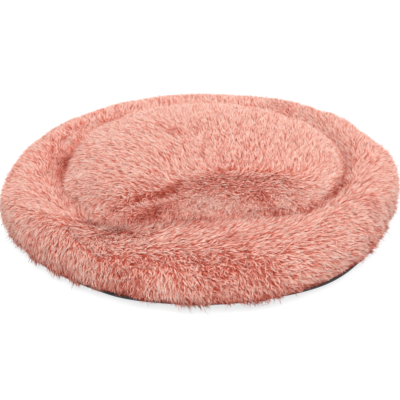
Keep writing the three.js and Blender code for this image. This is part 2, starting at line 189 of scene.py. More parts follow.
def add_light():
    """An even white sky, and one broad soft light from above, a little to the right and in front."""
    world = bpy.data.worlds.new("studio")
    bpy.context.scene.world = world
    world.use_nodes = True
    sky = world.node_tree.nodes["Background"]
    sky.inputs["Color"].default_value = (1, 1, 1, 1)
    world.node_tree.links.new(seen_or(world.node_tree, SKY_STRENGTH, 1.0), sky.inputs["Strength"])
    data = bpy.data.lights.new("softbox", "SUN")
    data.energy, data.angle = SUN_STRENGTH, SUN_SOFTNESS
    sun = bpy.data.objects.new("softbox", data)
    sun.rotation_euler = (math.radians(30), math.radians(5), 0)
    bpy.context.scene.collection.objects.link(sun)


lay_floor()
add_light()

# %% [markdown]
# ## The shape of the bed
# The outline isn't a true circle: hand-cut fur and loose filling pull it in and out. Two dozen pairs of
# numbers, one every 15 degrees from the right and on round the back, give the outer radius and the width of
# the ring as shares of their nominal sizes. A closed smooth curve through them gives both at any angle. The
# pairs are not all chosen by hand: a separate program fitted them to the outline in the photo, and they
# were changed after.

# %% Sizes
BED_RADIUS, RING_WIDTH = 0.500, 0.150
RING_HEIGHT, VALLEY_HEIGHT, DOME_HEIGHT = 0.114, 0.086, 0.152
FUR_DEPTH, SEAM_GAP, SEAM_PATH = 0.014, 0.0006, 0.13
OUTLINE = np.array([
    [0.990, 0.93], [0.955, 0.85], [0.975, 0.91], [0.955, 0.83], [0.930, 0.78], [0.940, 0.83],
    [0.975, 0.95], [0.995, 1.00], [0.975, 0.92], [0.965, 0.85], [0.980, 0.91], [0.980, 0.98],
    [0.985, 1.00], [1.000, 1.00], [0.985, 0.92], [0.975, 0.87], [0.970, 0.93], [0.980, 1.32],
    [0.990, 1.45], [0.995, 1.38], [1.000, 1.19], [0.980, 0.93], [0.960, 0.82], [0.970, 0.86],
])
RING_SECTION = np.array([
    [0.20, 0.0], [0.06, 0.12], [0.0, 0.34], [0.03, 0.60], [0.14, 0.84],
    [0.32, 0.97], [0.50, 1.0], [0.70, 0.97], [0.88, 0.88], [1.0, VALLEY_HEIGHT / RING_HEIGHT],
])
DOME_SECTION = np.array([
    [1.0, 0.0], [0.97, 0.27], [0.90, 0.50], [0.79, 0.68], [0.63, 0.83], [0.44, 0.93], [0.22, 0.985], [0.0, 1.0],
])


def smooth_through(points, share, closed):
    """A curve through evenly timed points. Between two points it is a cubic whose slope at each point is
    half the step between that point's two neighbours. Returns the place at each share from 0 to 1."""
    count = len(points)
    time = np.asarray(share, float) * (count if closed else count - 1)
    first = np.floor(time).astype(int)
    if not closed:
        first = np.clip(first, 0, count - 2)
    t = (time - first)[..., None]
    step = [first - 1, first, first + 1, first + 2]
    a, b, c, d = [points[i % count if closed else np.clip(i, 0, count - 1)] for i in step]
    slope_b, slope_c = (c - a) / 2, (d - b) / 2
    return ((2 * b - 2 * c + slope_b + slope_c) * t**3 + (3 * c - 3 * b - 2 * slope_b - slope_c) * t**2
            + slope_b * t + b)


def plan_at(turn):
    """At an angle given as a share of a full turn: the outer radius, the ring's span and the pad's radius."""
    share = smooth_through(OUTLINE, np.asarray(turn) % 1.0, closed=True)
    outer, width = BED_RADIUS * share[..., 0], RING_WIDTH * share[..., 1]
    return outer, width - SEAM_GAP / 2, outer - width - SEAM_GAP / 2


# %% [markdown]
# A surface of the bed is a place for each pair (turn, path): turn goes round, and path goes across. On the
# ring, path 0 is where it leaves the floor, and path 1 is the valley. On the dome, path 0 is the valley and
# path 1 the middle. Depth moves the place inwards, square to the surface, so backing cloth, bag and filling
# can share it.

# %% Surfaces as functions of turn and path
STEP = 1e-4


def section_at(points, path):
    """A point of a section, and the section's own direction there, as the step between two points close
    by."""
    here = smooth_through(points, path, closed=False)
    after = smooth_through(points, np.clip(path + STEP, 0, 1), closed=False)
    before = smooth_through(points, np.clip(path - STEP, 0, 1), closed=False)
    return here, after - before


def swept(turn, radius, height):
    """Carries radius and height round the upright axis to that turn."""
    angle = 2 * math.pi * turn
    return np.stack([radius * np.cos(angle), radius * np.sin(angle), height], -1)


def ring_place(turn, path, depth=0.0):
    """Radius is the outer radius less the section's share of the span; height is its share of the ring's
    height."""
    turn, path = np.broadcast_arrays(np.asarray(turn, float), np.asarray(path, float))
    outer, span, _ = plan_at(turn)
    here, along = section_at(RING_SECTION, path)
    step_r, step_z = -span * along[..., 0], RING_HEIGHT * along[..., 1]
    size = np.hypot(step_r, step_z)
    inward_r, inward_z = -step_z / size, step_r / size
    inward_z = np.where(path >= 1, -1.0, np.where(path <= 0, 1.0, inward_z))
    inward_r = np.where((path >= 1) | (path <= 0), 0.0, inward_r)
    return swept(turn, outer - span * here[..., 0] + depth * inward_r,
                 RING_HEIGHT * here[..., 1] + depth * inward_z)


def dome_place(turn, path, depth=0.0):
    """Radius is the section's share of the pad's radius; height is the valley's plus a share of the
    dome's rise."""
    turn, path = np.broadcast_arrays(np.asarray(turn, float), np.asarray(path, float))
    _, _, pad = plan_at(turn)
    here, along = section_at(DOME_SECTION, path)
    step_r, step_z = pad * along[..., 0], (DOME_HEIGHT - VALLEY_HEIGHT) * along[..., 1]
    size = np.hypot(step_r, step_z)
    inward_r, inward_z = -step_z / size, step_r / size
    ends = (path >= 1) | (path <= 0)
    inward_r, inward_z = np.where(ends, 0.0, inward_r), np.where(ends, -1.0, inward_z)
    return swept(turn, pad * here[..., 0] + depth * inward_r,
                 VALLEY_HEIGHT + (DOME_HEIGHT - VALLEY_HEIGHT) * here[..., 1] + depth * inward_z)


print("ring's outer edge at the right:", ring_place(0.0, 0.3).round(4))

# %% [markdown]
# ## Creases and gathers
# A stuffed cover isn't smooth. The dome sags over its front edge in two long creases, the valley is wide
# and deep on the left, and the front of the ring is dented. Each crease is a line in plan with a width and
# a depth, and it pulls the surface in by a bell curve of the distance from that line. The lines were picked
# in the photo, and a separate program turned most of their ends into places in plan, which were then moved
# a little.

# %% Creases
CREASES = np.array([
    # from x, from y, to x, to y, width, depth
    [-0.215, -0.255, -0.137, -0.252, 0.020, 0.007],
    [-0.137, -0.252, -0.050, -0.230, 0.018, 0.008],
    [0.095, -0.266, 0.184, -0.254, 0.016, 0.007],
    [-0.352, -0.052, -0.352, 0.126, 0.024, 0.009],
    [-0.352, 0.126, -0.300, 0.236, 0.022, 0.009],
    [0.055, -0.393, 0.076, -0.451, 0.010, 0.006],
    [0.330, -0.060, 0.318, -0.150, 0.010, 0.006],
])


def along_lines(lines, x, y):
    """Adds up, for every line, its strength times exp(-(distance / width) squared), where the distance is
    to the nearest point of that line in plan."""
    total = np.zeros(np.broadcast(x, y).shape)
    for x0, y0, x1, y1, width, strength in lines:
        run = np.array([x1 - x0, y1 - y0])
        along = np.clip(((x - x0) * run[0] + (y - y0) * run[1]) / (run @ run), 0, 1)
        gap = np.hypot(x - x0 - along * run[0], y - y0 - along * run[1])
        total += strength * np.exp(-((gap / width) ** 2))
    return total


# %% [markdown]
# ## Backing cloth
# Faux fur is a knitted backing with the pile locked into it. The backing carries the shape, so it comes
# first: one grid of points round the ring and one over the dome. It lies under the pile, so it sits about
# nine millimetres inside the bed's outer surface, and comes up to the base cloth only where it is sewn to
# it.

# %% Backing grids
RING_TURNS, RING_PATHS, DOME_PATHS = 512, 46, 34
BACKING_DEPTH, HEM_DEPTH, HEM_SHARE = 0.0092, 0.003, 0.16
PANEL_PULL, PANEL_PULL_WIDTH = 0.003, 0.014
PANEL_SEAMS = np.array([0.125, 0.375, 0.625, 0.875])


def ease(share):
    """A ramp from 0 to 1 that starts and ends level."""
    t = np.clip(share, 0, 1)
    return t * t * (3 - 2 * t)


def panel_pull(turn):
    """How far a sewn seam between two ring panels draws the cloth in, by a bell curve of the distance
    along."""
    away = np.abs((turn[..., None] - PANEL_SEAMS + 0.5) % 1 - 0.5).min(-1) * 2 * math.pi * BED_RADIUS
    return PANEL_PULL * np.exp(-((away / PANEL_PULL_WIDTH) ** 2))


def ring_backing_grid():
    """Places on the ring from its hem to the valley, at backing depth plus creases and panel seams."""
    turn = np.arange(RING_TURNS)[:, None] / RING_TURNS
    path = np.linspace(SEAM_PATH, 1.0, RING_PATHS)[None, :]
    rise = ease((path - SEAM_PATH) / HEM_SHARE)
    outside = ring_place(turn, path)
    depth = HEM_DEPTH + (BACKING_DEPTH - HEM_DEPTH) * rise
    depth = depth + along_lines(CREASES, outside[..., 0], outside[..., 1]) * rise + panel_pull(turn) * rise
    return ring_place(turn, path, depth)


def dome_backing_grid():
    """Places on the dome from the valley to the middle, where every turn meets in one point."""
    turn = np.arange(RING_TURNS)[:, None] / RING_TURNS
    path = np.linspace(0.0, 1.0, DOME_PATHS)[None, :]
    outside = dome_place(turn, path)
    return dome_place(turn, path, BACKING_DEPTH + along_lines(CREASES, outside[..., 0], outside[..., 1]))


ring_grid, dome_grid = ring_backing_grid(), dome_backing_grid()
print("ring backing", ring_grid.shape, "dome backing", dome_grid.shape)

# %% [markdown]
# The cover is cut a little larger than what it covers and gathered into its seams, which is what makes a
# real bed pucker. A bell curve can't do that, but a cloth simulation can: the seams are pinned, the cloth's
# resting size is set a few per cent over the size it starts at, and light air pressure stands in for the
# filling. What it settles to is read back as an array, so no simulation stays on the pieces.

# %% Settle the cloth
SETTLE_FRAMES = 16
LOOSENESS = 0.06
MOST_RISE, MOST_SINK = 0.0045, 0.0035
TUFT_PATHS = 4


def grid_faces(turns, paths, wrap=True):
    """Quads of a grid whose points are numbered path by path along each turn; the last turn meets the
    first."""
    i = np.arange(turns if wrap else turns - 1)[:, None]
    j = np.arange(paths - 1)[None, :]
    after = (i + 1) % turns
    corners = [i * paths + j, after * paths + j, after * paths + j + 1, i * paths + j + 1]
    return np.stack(corners, -1).reshape(-1, 4)


def grid_normals(grid):
    """Outward directions of a grid: the cross product of its steps round and its steps across."""
    round_step = np.roll(grid, -1, 0) - np.roll(grid, 1, 0)
    across = np.gradient(grid, axis=1)
    normal = np.cross(round_step, across)
    size = np.linalg.norm(normal, axis=-1, keepdims=True)
    normal = normal / np.maximum(size, 1e-12)
    flat = size[..., 0] < 1e-9
    normal[flat] = [0, 0, 1]
    return normal


def settle(name, grid, pins):
    """Runs the cloth for a few frames with its pinned points held, and returns where the points come to
    rest, with each one's move along its own normal kept within the two limits, and its sideways slip
    within the first."""
    mesh = bpy.data.meshes.new(name)
    mesh.from_pydata(grid.reshape(-1, 3).tolist(), [], grid_faces(*grid.shape[:2]).tolist())
    cloth = bpy.data.objects.new(name, mesh)
    bpy.context.scene.collection.objects.link(cloth)
    group = cloth.vertex_groups.new(name="sewn")
    for weight in np.unique(pins):
        group.add(np.flatnonzero(pins.ravel() == weight).tolist(), float(weight), "REPLACE")
    setup = cloth.modifiers.new("cloth", "CLOTH")
    rules = setup.settings
    rules.quality, rules.mass = 6, 0.2
    rules.tension_stiffness = rules.compression_stiffness = 8
    rules.shear_stiffness, rules.bending_stiffness = 4, 0.12
    rules.vertex_group_mass, rules.pin_stiffness = "sewn", 4
    rules.shrink_min = -LOOSENESS
    rules.use_pressure, rules.uniform_pressure_force = True, 1.2
    rules.effector_weights.gravity = 0
    setup.point_cache.frame_start, setup.point_cache.frame_end = 1, SETTLE_FRAMES
    for number in range(1, SETTLE_FRAMES + 1):
        bpy.context.scene.frame_set(number)
    resting = cloth.evaluated_get(bpy.context.evaluated_depsgraph_get()).to_mesh()
    places = np.empty(len(resting.vertices) * 3)
    resting.vertices.foreach_get("co", places)
    bpy.data.objects.remove(cloth)
    bpy.context.scene.frame_set(1)
    moved = places.reshape(grid.shape) - grid
    normal = grid_normals(grid)
    outward = (moved * normal).sum(-1, keepdims=True)
    slip = moved - outward * normal
    far = np.linalg.norm(slip, axis=-1, keepdims=True)
    slip *= np.minimum(1, MOST_RISE / np.maximum(far, 1e-9))
    print(name, "settled by up to", float(np.abs(outward).max().round(4)))
    return grid + normal * np.clip(outward, -MOST_SINK, MOST_RISE) + slip


def ring_pins():
    """One where the ring is sewn: at the hem, in the valley and along the four seams between its panels."""
    pins = np.zeros((RING_TURNS, RING_PATHS))
    pins[:, [0, 1, -1]] = 1
    pins[(PANEL_SEAMS * RING_TURNS).astype(int)] = 1
    return pins


def dome_pins():
    """One round the valley, and on the small round of the middle, where a hidden tuft keeps the pad flat."""
    pins = np.zeros((RING_TURNS, DOME_PATHS))
    pins[:, [0, *range(-TUFT_PATHS, 0)]] = 1
    return pins


ring_grid = settle("ring_backing", ring_grid, ring_pins())
dome_grid = settle("dome_backing", dome_grid, dome_pins())

# %% [markdown]
# ## Reading the settled cloth
# Hair needs to know where the cloth is and which way it faces at any spot, not only at grid points. So
# every grid is read by blending the four points round a spot, and its normals the same way.

# %% Read a grid


def between(grid, turn, share):
    """Blends the four grid points round (turn, share): turn wraps round, share runs from 0 to 1 across."""
    turns, paths = grid.shape[:2]
    a, b = (turn % 1) * turns, np.clip(share, 0, 1) * (paths - 1)
    i = np.floor(a).astype(int)
    j = np.minimum(np.floor(b).astype(int), paths - 2)
    s, t = (a - i)[..., None], (b - j)[..., None]
    i, after = i % turns, (i + 1) % turns
    return (grid[i, j] * (1 - s) + grid[after, j] * s) * (1 - t) + (grid[i, j + 1] * (1 - s)
                                                                    + grid[after, j + 1] * s) * t


def unit(vectors):
    """Vectors scaled to a length of one."""
    return vectors / np.maximum(np.linalg.norm(vectors, axis=-1, keepdims=True), 1e-12)


def side_sizes(grid):
    """How long a full turn and the whole way across are, on average, for each column and each row of a
    grid."""
    rows = np.linalg.norm(np.roll(grid, -1, 0) - grid, axis=-1).sum(0)
    across = np.linalg.norm(np.diff(grid, axis=1), axis=-1).sum(1).mean()
    return rows, across


# %% [markdown]
# ## Combing
# Nobody combs a bed by formula: the pile was stroked outwards, and lies in swirls. 130 guides say which way
# it was stroked near them, as a place in plan, a heading in degrees, where 0 points right and 90 to the
# back, and how much it droops where the cloth is steep. Every other spot takes the average of the guides,
# weighted by how near they are, with a slow random drift on top. Most of these rows are not chosen by hand:
# a separate program worked them out from strokes noted in the photo, and some of those strokes' angles had
# been measured by a program too.

# %% Comb guides
RING_COMB = np.array([
    # x, y, heading, droop: the top of the ring
    [-0.43, -0.17, 175, 0.9], [-0.44, -0.04, 150, 0.9], [-0.40, -0.04, 155, 0.9], [-0.41, 0.08, 150, 0.9],
    [-0.36, 0.16, 145, 0.9], [-0.33, 0.26, 125, 0.9], [-0.29, 0.29, 120, 0.9], [-0.23, 0.37, 105, 0.9],
    [-0.15, 0.38, 100, 0.9], [-0.07, 0.40, 95, 0.9], [0.00, 0.40, 90, 0.9], [0.12, 0.33, 85, 0.9],
    [0.21, 0.29, 90, 0.9], [0.29, 0.22, 95, 0.9], [0.32, 0.12, 95, 0.9], [0.36, 0.13, 80, 0.9],
    [0.38, 0.05, 80, 0.9], [0.42, 0.01, 50, 0.9], [0.35, -0.07, 80, 0.9], [0.39, -0.10, 10, 0.9],
    [0.42, -0.18, 5, 0.9], [0.36, -0.22, 0, 0.5], [0.39, -0.29, -5, 0.5], [0.32, -0.28, -5, 0.5],
    [0.33, -0.34, -5, 0.3], [0.28, -0.34, -10, 0.5], [0.28, -0.40, -10, 0.3], [0.34, -0.40, -20, 0.2],
    [0.23, -0.34, -5, 0.5], [0.22, -0.41, -15, 0.4], [0.17, -0.39, -20, 0.4], [0.12, -0.39, 0, 0.4],
    [0.08, -0.35, 5, 0.4], [0.07, -0.40, -20, 0.4], [0.02, -0.38, -20, 0.4], [-0.03, -0.40, -15, 0.4],
    [-0.08, -0.39, -10, 0.4], [-0.13, -0.41, -15, 0.5], [-0.17, -0.39, -40, 0.7], [-0.22, -0.38, -80, 0.9],
    [-0.27, -0.38, -85, 0.9], [-0.32, -0.36, -95, 0.9], [-0.35, -0.28, -155, 0.9], [-0.31, -0.24, -180, 0.9],
    [-0.25, -0.33, -130, 0.9], [-0.29, -0.28, 175, 0.9], [-0.205, -0.325, -105, 0.7], [-0.16, -0.33, -70, 0.5],
    [-0.11, -0.325, -40, 0.4],
    # its front face
    [-0.36, -0.32, -95, 0.9], [-0.30, -0.36, -80, 0.9], [-0.23, -0.39, -85, 0.9], [-0.18, -0.42, -75, 0.9],
    [-0.13, -0.44, -75, 0.9], [-0.08, -0.46, -85, 0.9], [-0.03, -0.46, -60, 0.7], [0.02, -0.44, -40, 0.5],
    [0.06, -0.46, -70, 0.6], [0.11, -0.48, -80, 0.6], [0.12, -0.44, -15, 0.3], [0.17, -0.46, -15, 0.2],
    [0.24, -0.44, -15, 0.15], [0.29, -0.40, -5, 0.1], [0.34, -0.36, 15, 0.1],
])
DOME_COMB = np.array([
    # x, y, heading, droop: the top, stroked to the left and to the back
    [-0.27, -0.01, -150, 0.5], [-0.27, -0.11, -175, 0.5], [-0.25, -0.18, -140, 0.6], [-0.25, -0.20, -105, 0.7],
    [-0.22, 0.08, 175, 0.5], [-0.21, -0.02, 170, 0.5], [-0.20, -0.10, 170, 0.5], [-0.20, -0.18, -170, 0.5],
    [-0.16, 0.07, 155, 0.5], [-0.15, -0.02, 170, 0.5], [-0.14, -0.11, 160, 0.5], [-0.14, -0.18, 170, 0.5],
    [-0.09, 0.07, 150, 0.5], [-0.09, -0.03, 145, 0.5], [-0.08, -0.12, 125, 0.5], [-0.08, -0.18, 140, 0.5],
    [-0.03, 0.16, 120, 0.5], [-0.03, 0.06, 125, 0.5], [-0.03, -0.03, 125, 0.5], [-0.03, -0.12, 120, 0.5],
    [0.04, 0.16, 100, 0.5], [0.04, 0.05, 95, 0.5], [0.04, -0.04, 100, 0.5], [0.03, -0.12, 110, 0.5],
    [0.11, 0.13, 90, 0.5], [0.10, 0.05, 95, 0.5], [0.10, -0.04, 95, 0.5], [0.09, -0.12, 105, 0.5],
    [0.17, 0.04, 90, 0.5], [0.16, -0.05, 90, 0.5], [0.15, -0.13, 95, 0.5], [0.23, 0.04, 95, 0.5],
    [0.22, -0.05, 90, 0.5], [0.21, -0.13, 85, 0.5], [0.27, -0.07, 90, 0.5], [0.25, -0.16, 80, 0.5],
    [0.30, -0.17, 65, 0.5],
    # its front slope, stroked towards the viewer
    [-0.19, -0.25, -145, 0.5], [-0.13, -0.25, -165, 0.5], [-0.06, -0.24, -145, 0.5], [0.00, -0.23, -105, 0.4],
    [0.04, -0.23, -65, 0.4], [0.08, -0.21, -60, 0.4], [0.13, -0.22, -55, 0.4], [0.18, -0.21, -70, 0.4],
    [0.25, -0.22, -30, 0.4], [-0.19, -0.27, -120, 0.5], [-0.16, -0.27, -120, 0.5], [-0.11, -0.27, -125, 0.5],
    [-0.08, -0.29, -115, 0.5], [-0.04, -0.26, -110, 0.5], [-0.01, -0.27, -100, 0.5], [0.03, -0.25, -130, 0.5],
    [0.08, -0.27, -115, 0.5], [0.13, -0.25, -80, 0.5], [0.13, -0.30, -125, 0.5], [0.18, -0.26, -105, 0.5],
    [0.18, -0.30, -90, 0.5], [0.24, -0.26, -45, 0.4], [0.27, -0.23, -5, 0.4],
    # behind
    [-0.24, 0.17, 150, 0.7], [-0.15, 0.24, 120, 0.7], [-0.02, 0.27, 95, 0.7], [0.15, 0.27, 80, 0.7],
    [0.27, 0.17, 60, 0.7], [0.32, 0.05, 40, 0.7],
])
COMB_REACH = 0.030
DRIFT_DEGREES, DRIFT_SIZE = 15.0, 0.07


def slow_waves(x, y, size, seed, count=5):
    """A smooth random hill country from -1 to 1: the mean of waves with random headings and phases, each
    about as long as the size given, scaled up so that its ups and downs fill the range."""
    rng = np.random.default_rng(seed)
    angle, phase = rng.uniform(0, 2 * math.pi, (2, count))
    stretch = rng.uniform(0.7, 1.5, count) * 2 * math.pi / size
    turned = x[..., None] * np.cos(angle) + y[..., None] * np.sin(angle)
    return np.clip(np.sin(turned * stretch + phase).sum(-1) / math.sqrt(count / 2) * 0.75, -1, 1)


def combed(places, normals, guides, seed):
    """The lie of the pile. Guides within reach are averaged as arrows with weights that fall off as the
    fourth power of distance, turned by the drift, pulled down by the guides' droop, and laid onto the
    surface."""
    x, y = places[..., 0], places[..., 1]
    gap = (x[..., None] - guides[:, 0]) ** 2 + (y[..., None] - guides[:, 1]) ** 2
    weight = 1 / (gap + COMB_REACH**2) ** 2
    heading = np.radians(guides[:, 2])
    angle = np.arctan2((weight * np.sin(heading)).sum(-1), (weight * np.cos(heading)).sum(-1))
    angle = angle + math.radians(DRIFT_DEGREES) * slow_waves(x, y, DRIFT_SIZE, seed)
    droop = (weight * guides[:, 3]).sum(-1) / weight.sum(-1)
    stroke = np.stack([np.cos(angle), np.sin(angle), -droop], -1)
    return unit(stroke - (stroke * normals).sum(-1, keepdims=True) * normals)


# %% [markdown]
# ## Locks of pile
# Long pile doesn't stand as single hairs. It clings together in locks a few millimetres across, and what
# the eye sees is the pale tips of those locks with dark gaps between them. Blender's hair would show that,
# but it doesn't leave Blender as a shape. So each hair here is a thin closed spike with three sides, and
# three spikes lean together at their tips to make a lock. Whole arrays of them are worked out at once.
#
# There are three layers: the locks that show, a shorter and redder layer of fine hairs between them, whose
# red is painted shade that darkens the gaps between the locks, and single stray hairs, the only ones with a
# bend. Spacing is the distance between roots, spread how far a lock's hairs start from its root, and cling
# how far they join at the tip. Sway turns locks off the comb, curl bends them sideways, and hem is the
# share of their length that is left where the cloth meets the base.
#
# Ruffles are places where the locks stand up untidily, and their colour is painted a little redder as
# painted shade. Partings are lines where the pile is painted in its deep colour, as painted shade of the
# creases and of the gaps where it parts. Tone patches are where it is paler or redder over a wider area;
# the redder ones on the left of the ring and on the dome's front slope are painted shade. The places of all
# three started from the photo. A separate program turned many of them into places in plan, and some were
# moved after.
#
# Along the valley seam the locks are ruffled and painted deeper, and over a wider band they are painted
# redder: painted shade of the hollow, where the light bounces between the hairs. The valley's fill says, at
# 16 equal steps of the turn, how much higher the pile stands over that seam. Near the hem the locks puff
# out and their colour is painted deep, as painted shade near the floor, and at two hem gaps the pile draws
# back from the base.

# %% Lay out the locks
LAYERS = {
    "lock": {"joints": 2, "spacing": 0.0044, "hairs": 3, "spread": 0.0011, "length": 0.019, "rise": 0.0074,
             "radius": 0.00085, "cling": 0.55, "sway": 0.28, "curl": 0.0024, "tone": 0.12, "hem": 0.48},
    # The fine layer's low tone is painted shade: it darkens and reddens the gaps between the locks.
    "fine": {"joints": 2, "spacing": 0.0044, "hairs": 3, "spread": 0.0022, "length": 0.013, "rise": 0.0046,
             "radius": 0.00090, "cling": 0.20, "sway": 0.40, "curl": 0.0018, "tone": -0.42, "hem": 0.48},
    "stray": {"joints": 3, "spacing": 0.0110, "hairs": 1, "spread": 0.0030, "length": 0.020, "rise": 0.0110,
              "radius": 0.00050, "cling": 0.0, "sway": 0.60, "curl": 0.0060, "tone": 0.05, "hem": 0.15},
}
RUFFLES = np.array([
    # x, y, reach, strength
    [0.10, -0.20, 0.085, 0.9], [0.19, -0.24, 0.060, 0.7], [-0.02, -0.24, 0.060, 0.8],
    [-0.13, -0.27, 0.060, 0.9], [-0.345, 0.05, 0.050, 0.9], [-0.31, 0.20, 0.045, 0.8],
    [-0.17, -0.46, 0.060, 0.6], [0.02, -0.49, 0.060, 0.8],
    [0.13, -0.48, 0.050, 0.7], [0.27, 0.30, 0.040, 0.6], [0.20, 0.33, 0.030, 0.5], [-0.24, 0.26, 0.030, 0.6],
    [-0.29, -0.19, 0.050, 0.8], [-0.21, -0.28, 0.050, 0.8],
])
# Painted shade: lines along which the pile is painted in its deep colour, at creases and partings.
PAINTED_SHADE_LINES = np.array([
    # from x, from y, to x, to y, width, strength: the valley, from the left round the front to the right
    [-0.270, 0.190, -0.319, 0.108, 0.012, 0.40], [-0.319, 0.108, -0.341, 0.020, 0.026, 0.70],
    [-0.341, 0.020, -0.338, -0.060, 0.026, 0.70], [-0.338, -0.060, -0.330, -0.120, 0.012, 0.50],
    [-0.297, -0.300, -0.224, -0.304, 0.008, 0.50], [-0.167, -0.288, -0.061, -0.260, 0.012, 0.55],
    [-0.056, -0.284, 0.004, -0.296, 0.006, 1.10], [0.213, -0.284, 0.257, -0.244, 0.009, 1.30],
    [0.257, -0.244, 0.328, -0.152, 0.010, 1.20], [0.328, -0.152, 0.346, -0.048, 0.009, 0.45],
    [0.346, -0.048, 0.339, 0.049, 0.009, 0.30],
    # partings on the dome
    [-0.193, -0.262, -0.135, -0.240, 0.007, 0.70], [-0.135, -0.238, -0.082, -0.232, 0.007, 0.80],
    [-0.082, -0.232, -0.044, -0.202, 0.007, 0.80], [-0.148, -0.292, -0.094, -0.268, 0.007, 0.90],
    [-0.100, -0.238, -0.005, -0.199, 0.010, 0.35], [-0.005, -0.202, 0.052, -0.194, 0.010, 0.20],
    [0.121, -0.240, 0.155, -0.272, 0.014, 0.40], [0.155, -0.272, 0.186, -0.280, 0.012, 0.45],
    [0.006, -0.053, 0.009, -0.103, 0.010, 0.45], [-0.072, 0.055, -0.036, 0.040, 0.014, 0.35],
    # and on the ring
    [-0.286, 0.189, -0.238, 0.192, 0.014, 0.40], [0.183, 0.262, 0.208, 0.229, 0.012, 0.40],
    [0.226, 0.191, 0.257, 0.167, 0.014, 0.40], [0.307, -0.261, 0.352, -0.255, 0.014, 0.25],
    [0.077, -0.385, 0.071, -0.457, 0.006, 0.35], [0.049, -0.357, 0.041, -0.421, 0.006, 0.25],
    [0.130, -0.359, 0.115, -0.422, 0.006, 0.30], [0.060, -0.476, 0.110, -0.470, 0.035, 0.20],
    [-0.180, -0.452, -0.140, -0.463, 0.024, 0.30],
])
# The redder patches on the left of the ring and on the dome's front slope are painted shade.
TONE_AND_SHADE_PATCHES = np.array([
    # x, y, reach, tone
    [0.00, 0.42, 0.20, 0.16], [0.02, 0.06, 0.20, 0.20], [-0.42, 0.02, 0.12, -0.10], [0.04, -0.22, 0.11, -0.20],
    [-0.35, -0.30, 0.08, -0.10], [0.24, -0.38, 0.10, 0.08], [-0.20, -0.02, 0.10, 0.04],
])
SEAM_REACH, SEAM_ROUGH = 0.022, 0.7
HOLLOW_SHADE_REACH, HOLLOW_SHADE_RED = 0.045, 0.22
VALLEY_FILL = np.array([0.2, 0.6, 1.2, 1.4, 1.2, 0.6, 0.1, 0.0, 0.5, 1.4, 1.6, 1.4, 1.0, 0.7, 0.1, 0.1])
VALLEY_LIGHT, PILE_FACING = 0.6, np.array([0.0, -0.15, 0.30])
HEM_GAPS = np.array([[0.694, 0.024, 0.85], [0.835, 0.034, 0.85]])
HEM_REACH, HEM_DEEP_SHADE, HEM_PUFF = 0.022, 0.95, 0.6
SUNK = 0.0015
FLOOR_CLEARANCE = 0.0012
FOLLOW = 0.85
SOFT_SHADE = 0.60
PATCH_SIZE, SPECK_SIZE = 0.12, 0.05
SIDE_LIFT, STEEP = 0.25, 1.6
FAR_ROUND = 0.06
REACH_RANGE, LIFT_RANGE = (0.75, 1.15), (0.70, 1.25)
OWN_REACH, OWN_LIFT = (0.80, 1.12), (0.75, 1.15)
ROUGH_SWAY, ROUGH_SHORTER = 0.8, 0.48
PUFF_PLACE, PUFF_WIDTH, PUFF_UNEVEN, PUFF_SIZE = 0.04, 0.08, 0.9, 0.05
PATCH_TONE, SPECK_TONE = 0.12, 0.12
TONE_PALEST, TONE_AND_GAP_SHADE_SPREAD, TONE_ROUGH_SHADE, TONE_SHADE_LINED = 1.08, 0.19, 0.05, 0.6
DEEP_AND_GAP_SHADE_SPREAD, SEAM_DEEP_SHADE, DEEP_SHADE_LINED, DEEP_SHADE_MOST = 0.11, 0.16, 0.8, 0.8
SHADE_LINE_RANGE, HEM_SHADE_RANGE = (0.2, 1.5), (0.3, 1.4)
CLING_CURVE, WANDER = 1.4, 0.0010
HAIR_TONE, HAIR_DEEP_SHADE = 0.12, 0.06


def lock_roots(grid, spacing, rng):
    """Rows of roots an even distance apart across the grid, and evenly round each row, each one jogged a
    little."""
    rows, across = side_sizes(grid)
    count = int(across / spacing)
    turn, share = [], []
    for row in range(count):
        place = (row + 0.5) / count
        length = np.interp(place, np.linspace(0, 1, len(rows)), rows)
        here = max(1, int(length / spacing))
        turn.append((np.arange(here) + rng.uniform() + rng.uniform(-0.42, 0.42, here)) / here)
        share.append(place + rng.uniform(-0.42, 0.42, here) / count)
    return np.concatenate(turn) % 1, np.clip(np.concatenate(share), 0.002, 0.998)


def fall_under(grid, turn, share, root, normal, comb, reach):
    """How far the cloth drops away from a straight line of that reach along the comb. The comb is split
    into its parts round and across the grid to find the spot under the tip; where that spot is past the
    grid's edge, the part inside is measured and scaled up by the square of the distances. Where the way
    round is long, the spot is beside the middle of the dome, which is level."""
    nudge = 1e-3
    round_step = (between(grid, turn + nudge, share) - root) / nudge
    inner = np.where(share < 0.5, nudge, -nudge)
    across_step = (between(grid, turn, share + inner) - root) / inner[:, None]
    a, b = (round_step**2).sum(-1), (round_step * across_step).sum(-1)
    c = (across_step**2).sum(-1)
    p, q = (comb * round_step).sum(-1), (comb * across_step).sum(-1)
    spread = np.maximum(a * c - b * b, 1e-9)
    d_turn, d_share = (c * p - b * q) / spread * reach, (a * q - b * p) / spread * reach
    room = np.where(d_share > 0, 1 - share, share)
    kept = np.clip(room / np.maximum(np.abs(d_share), 1e-9), 0.15, 1.0)
    under = between(grid, turn + d_turn * kept, share + d_share * kept)
    fall = np.clip(((under - root) * normal).sum(-1) / kept**2, -0.020, 0.012) * FOLLOW
    return np.where(np.abs(d_turn) > FAR_ROUND, 0.0, fall)


def ruffled(x, y):
    """From 0, combed smooth, to 1, ruffled up: the strongest of a few bell curves round places in plan."""
    gap = (x[..., None] - RUFFLES[:, 0]) ** 2 + (y[..., None] - RUFFLES[:, 1]) ** 2
    return (RUFFLES[:, 3] * np.exp(-gap / RUFFLES[:, 2] ** 2)).max(-1)


def hem_gap(turn):
    """From 0, where the pile hides the base cloth's edge, towards 1, where it has drawn back from it."""
    return (HEM_GAPS[:, 2] * np.exp(-(((turn[..., None] - HEM_GAPS[:, 0]) / HEM_GAPS[:, 1]) ** 2))).max(-1)


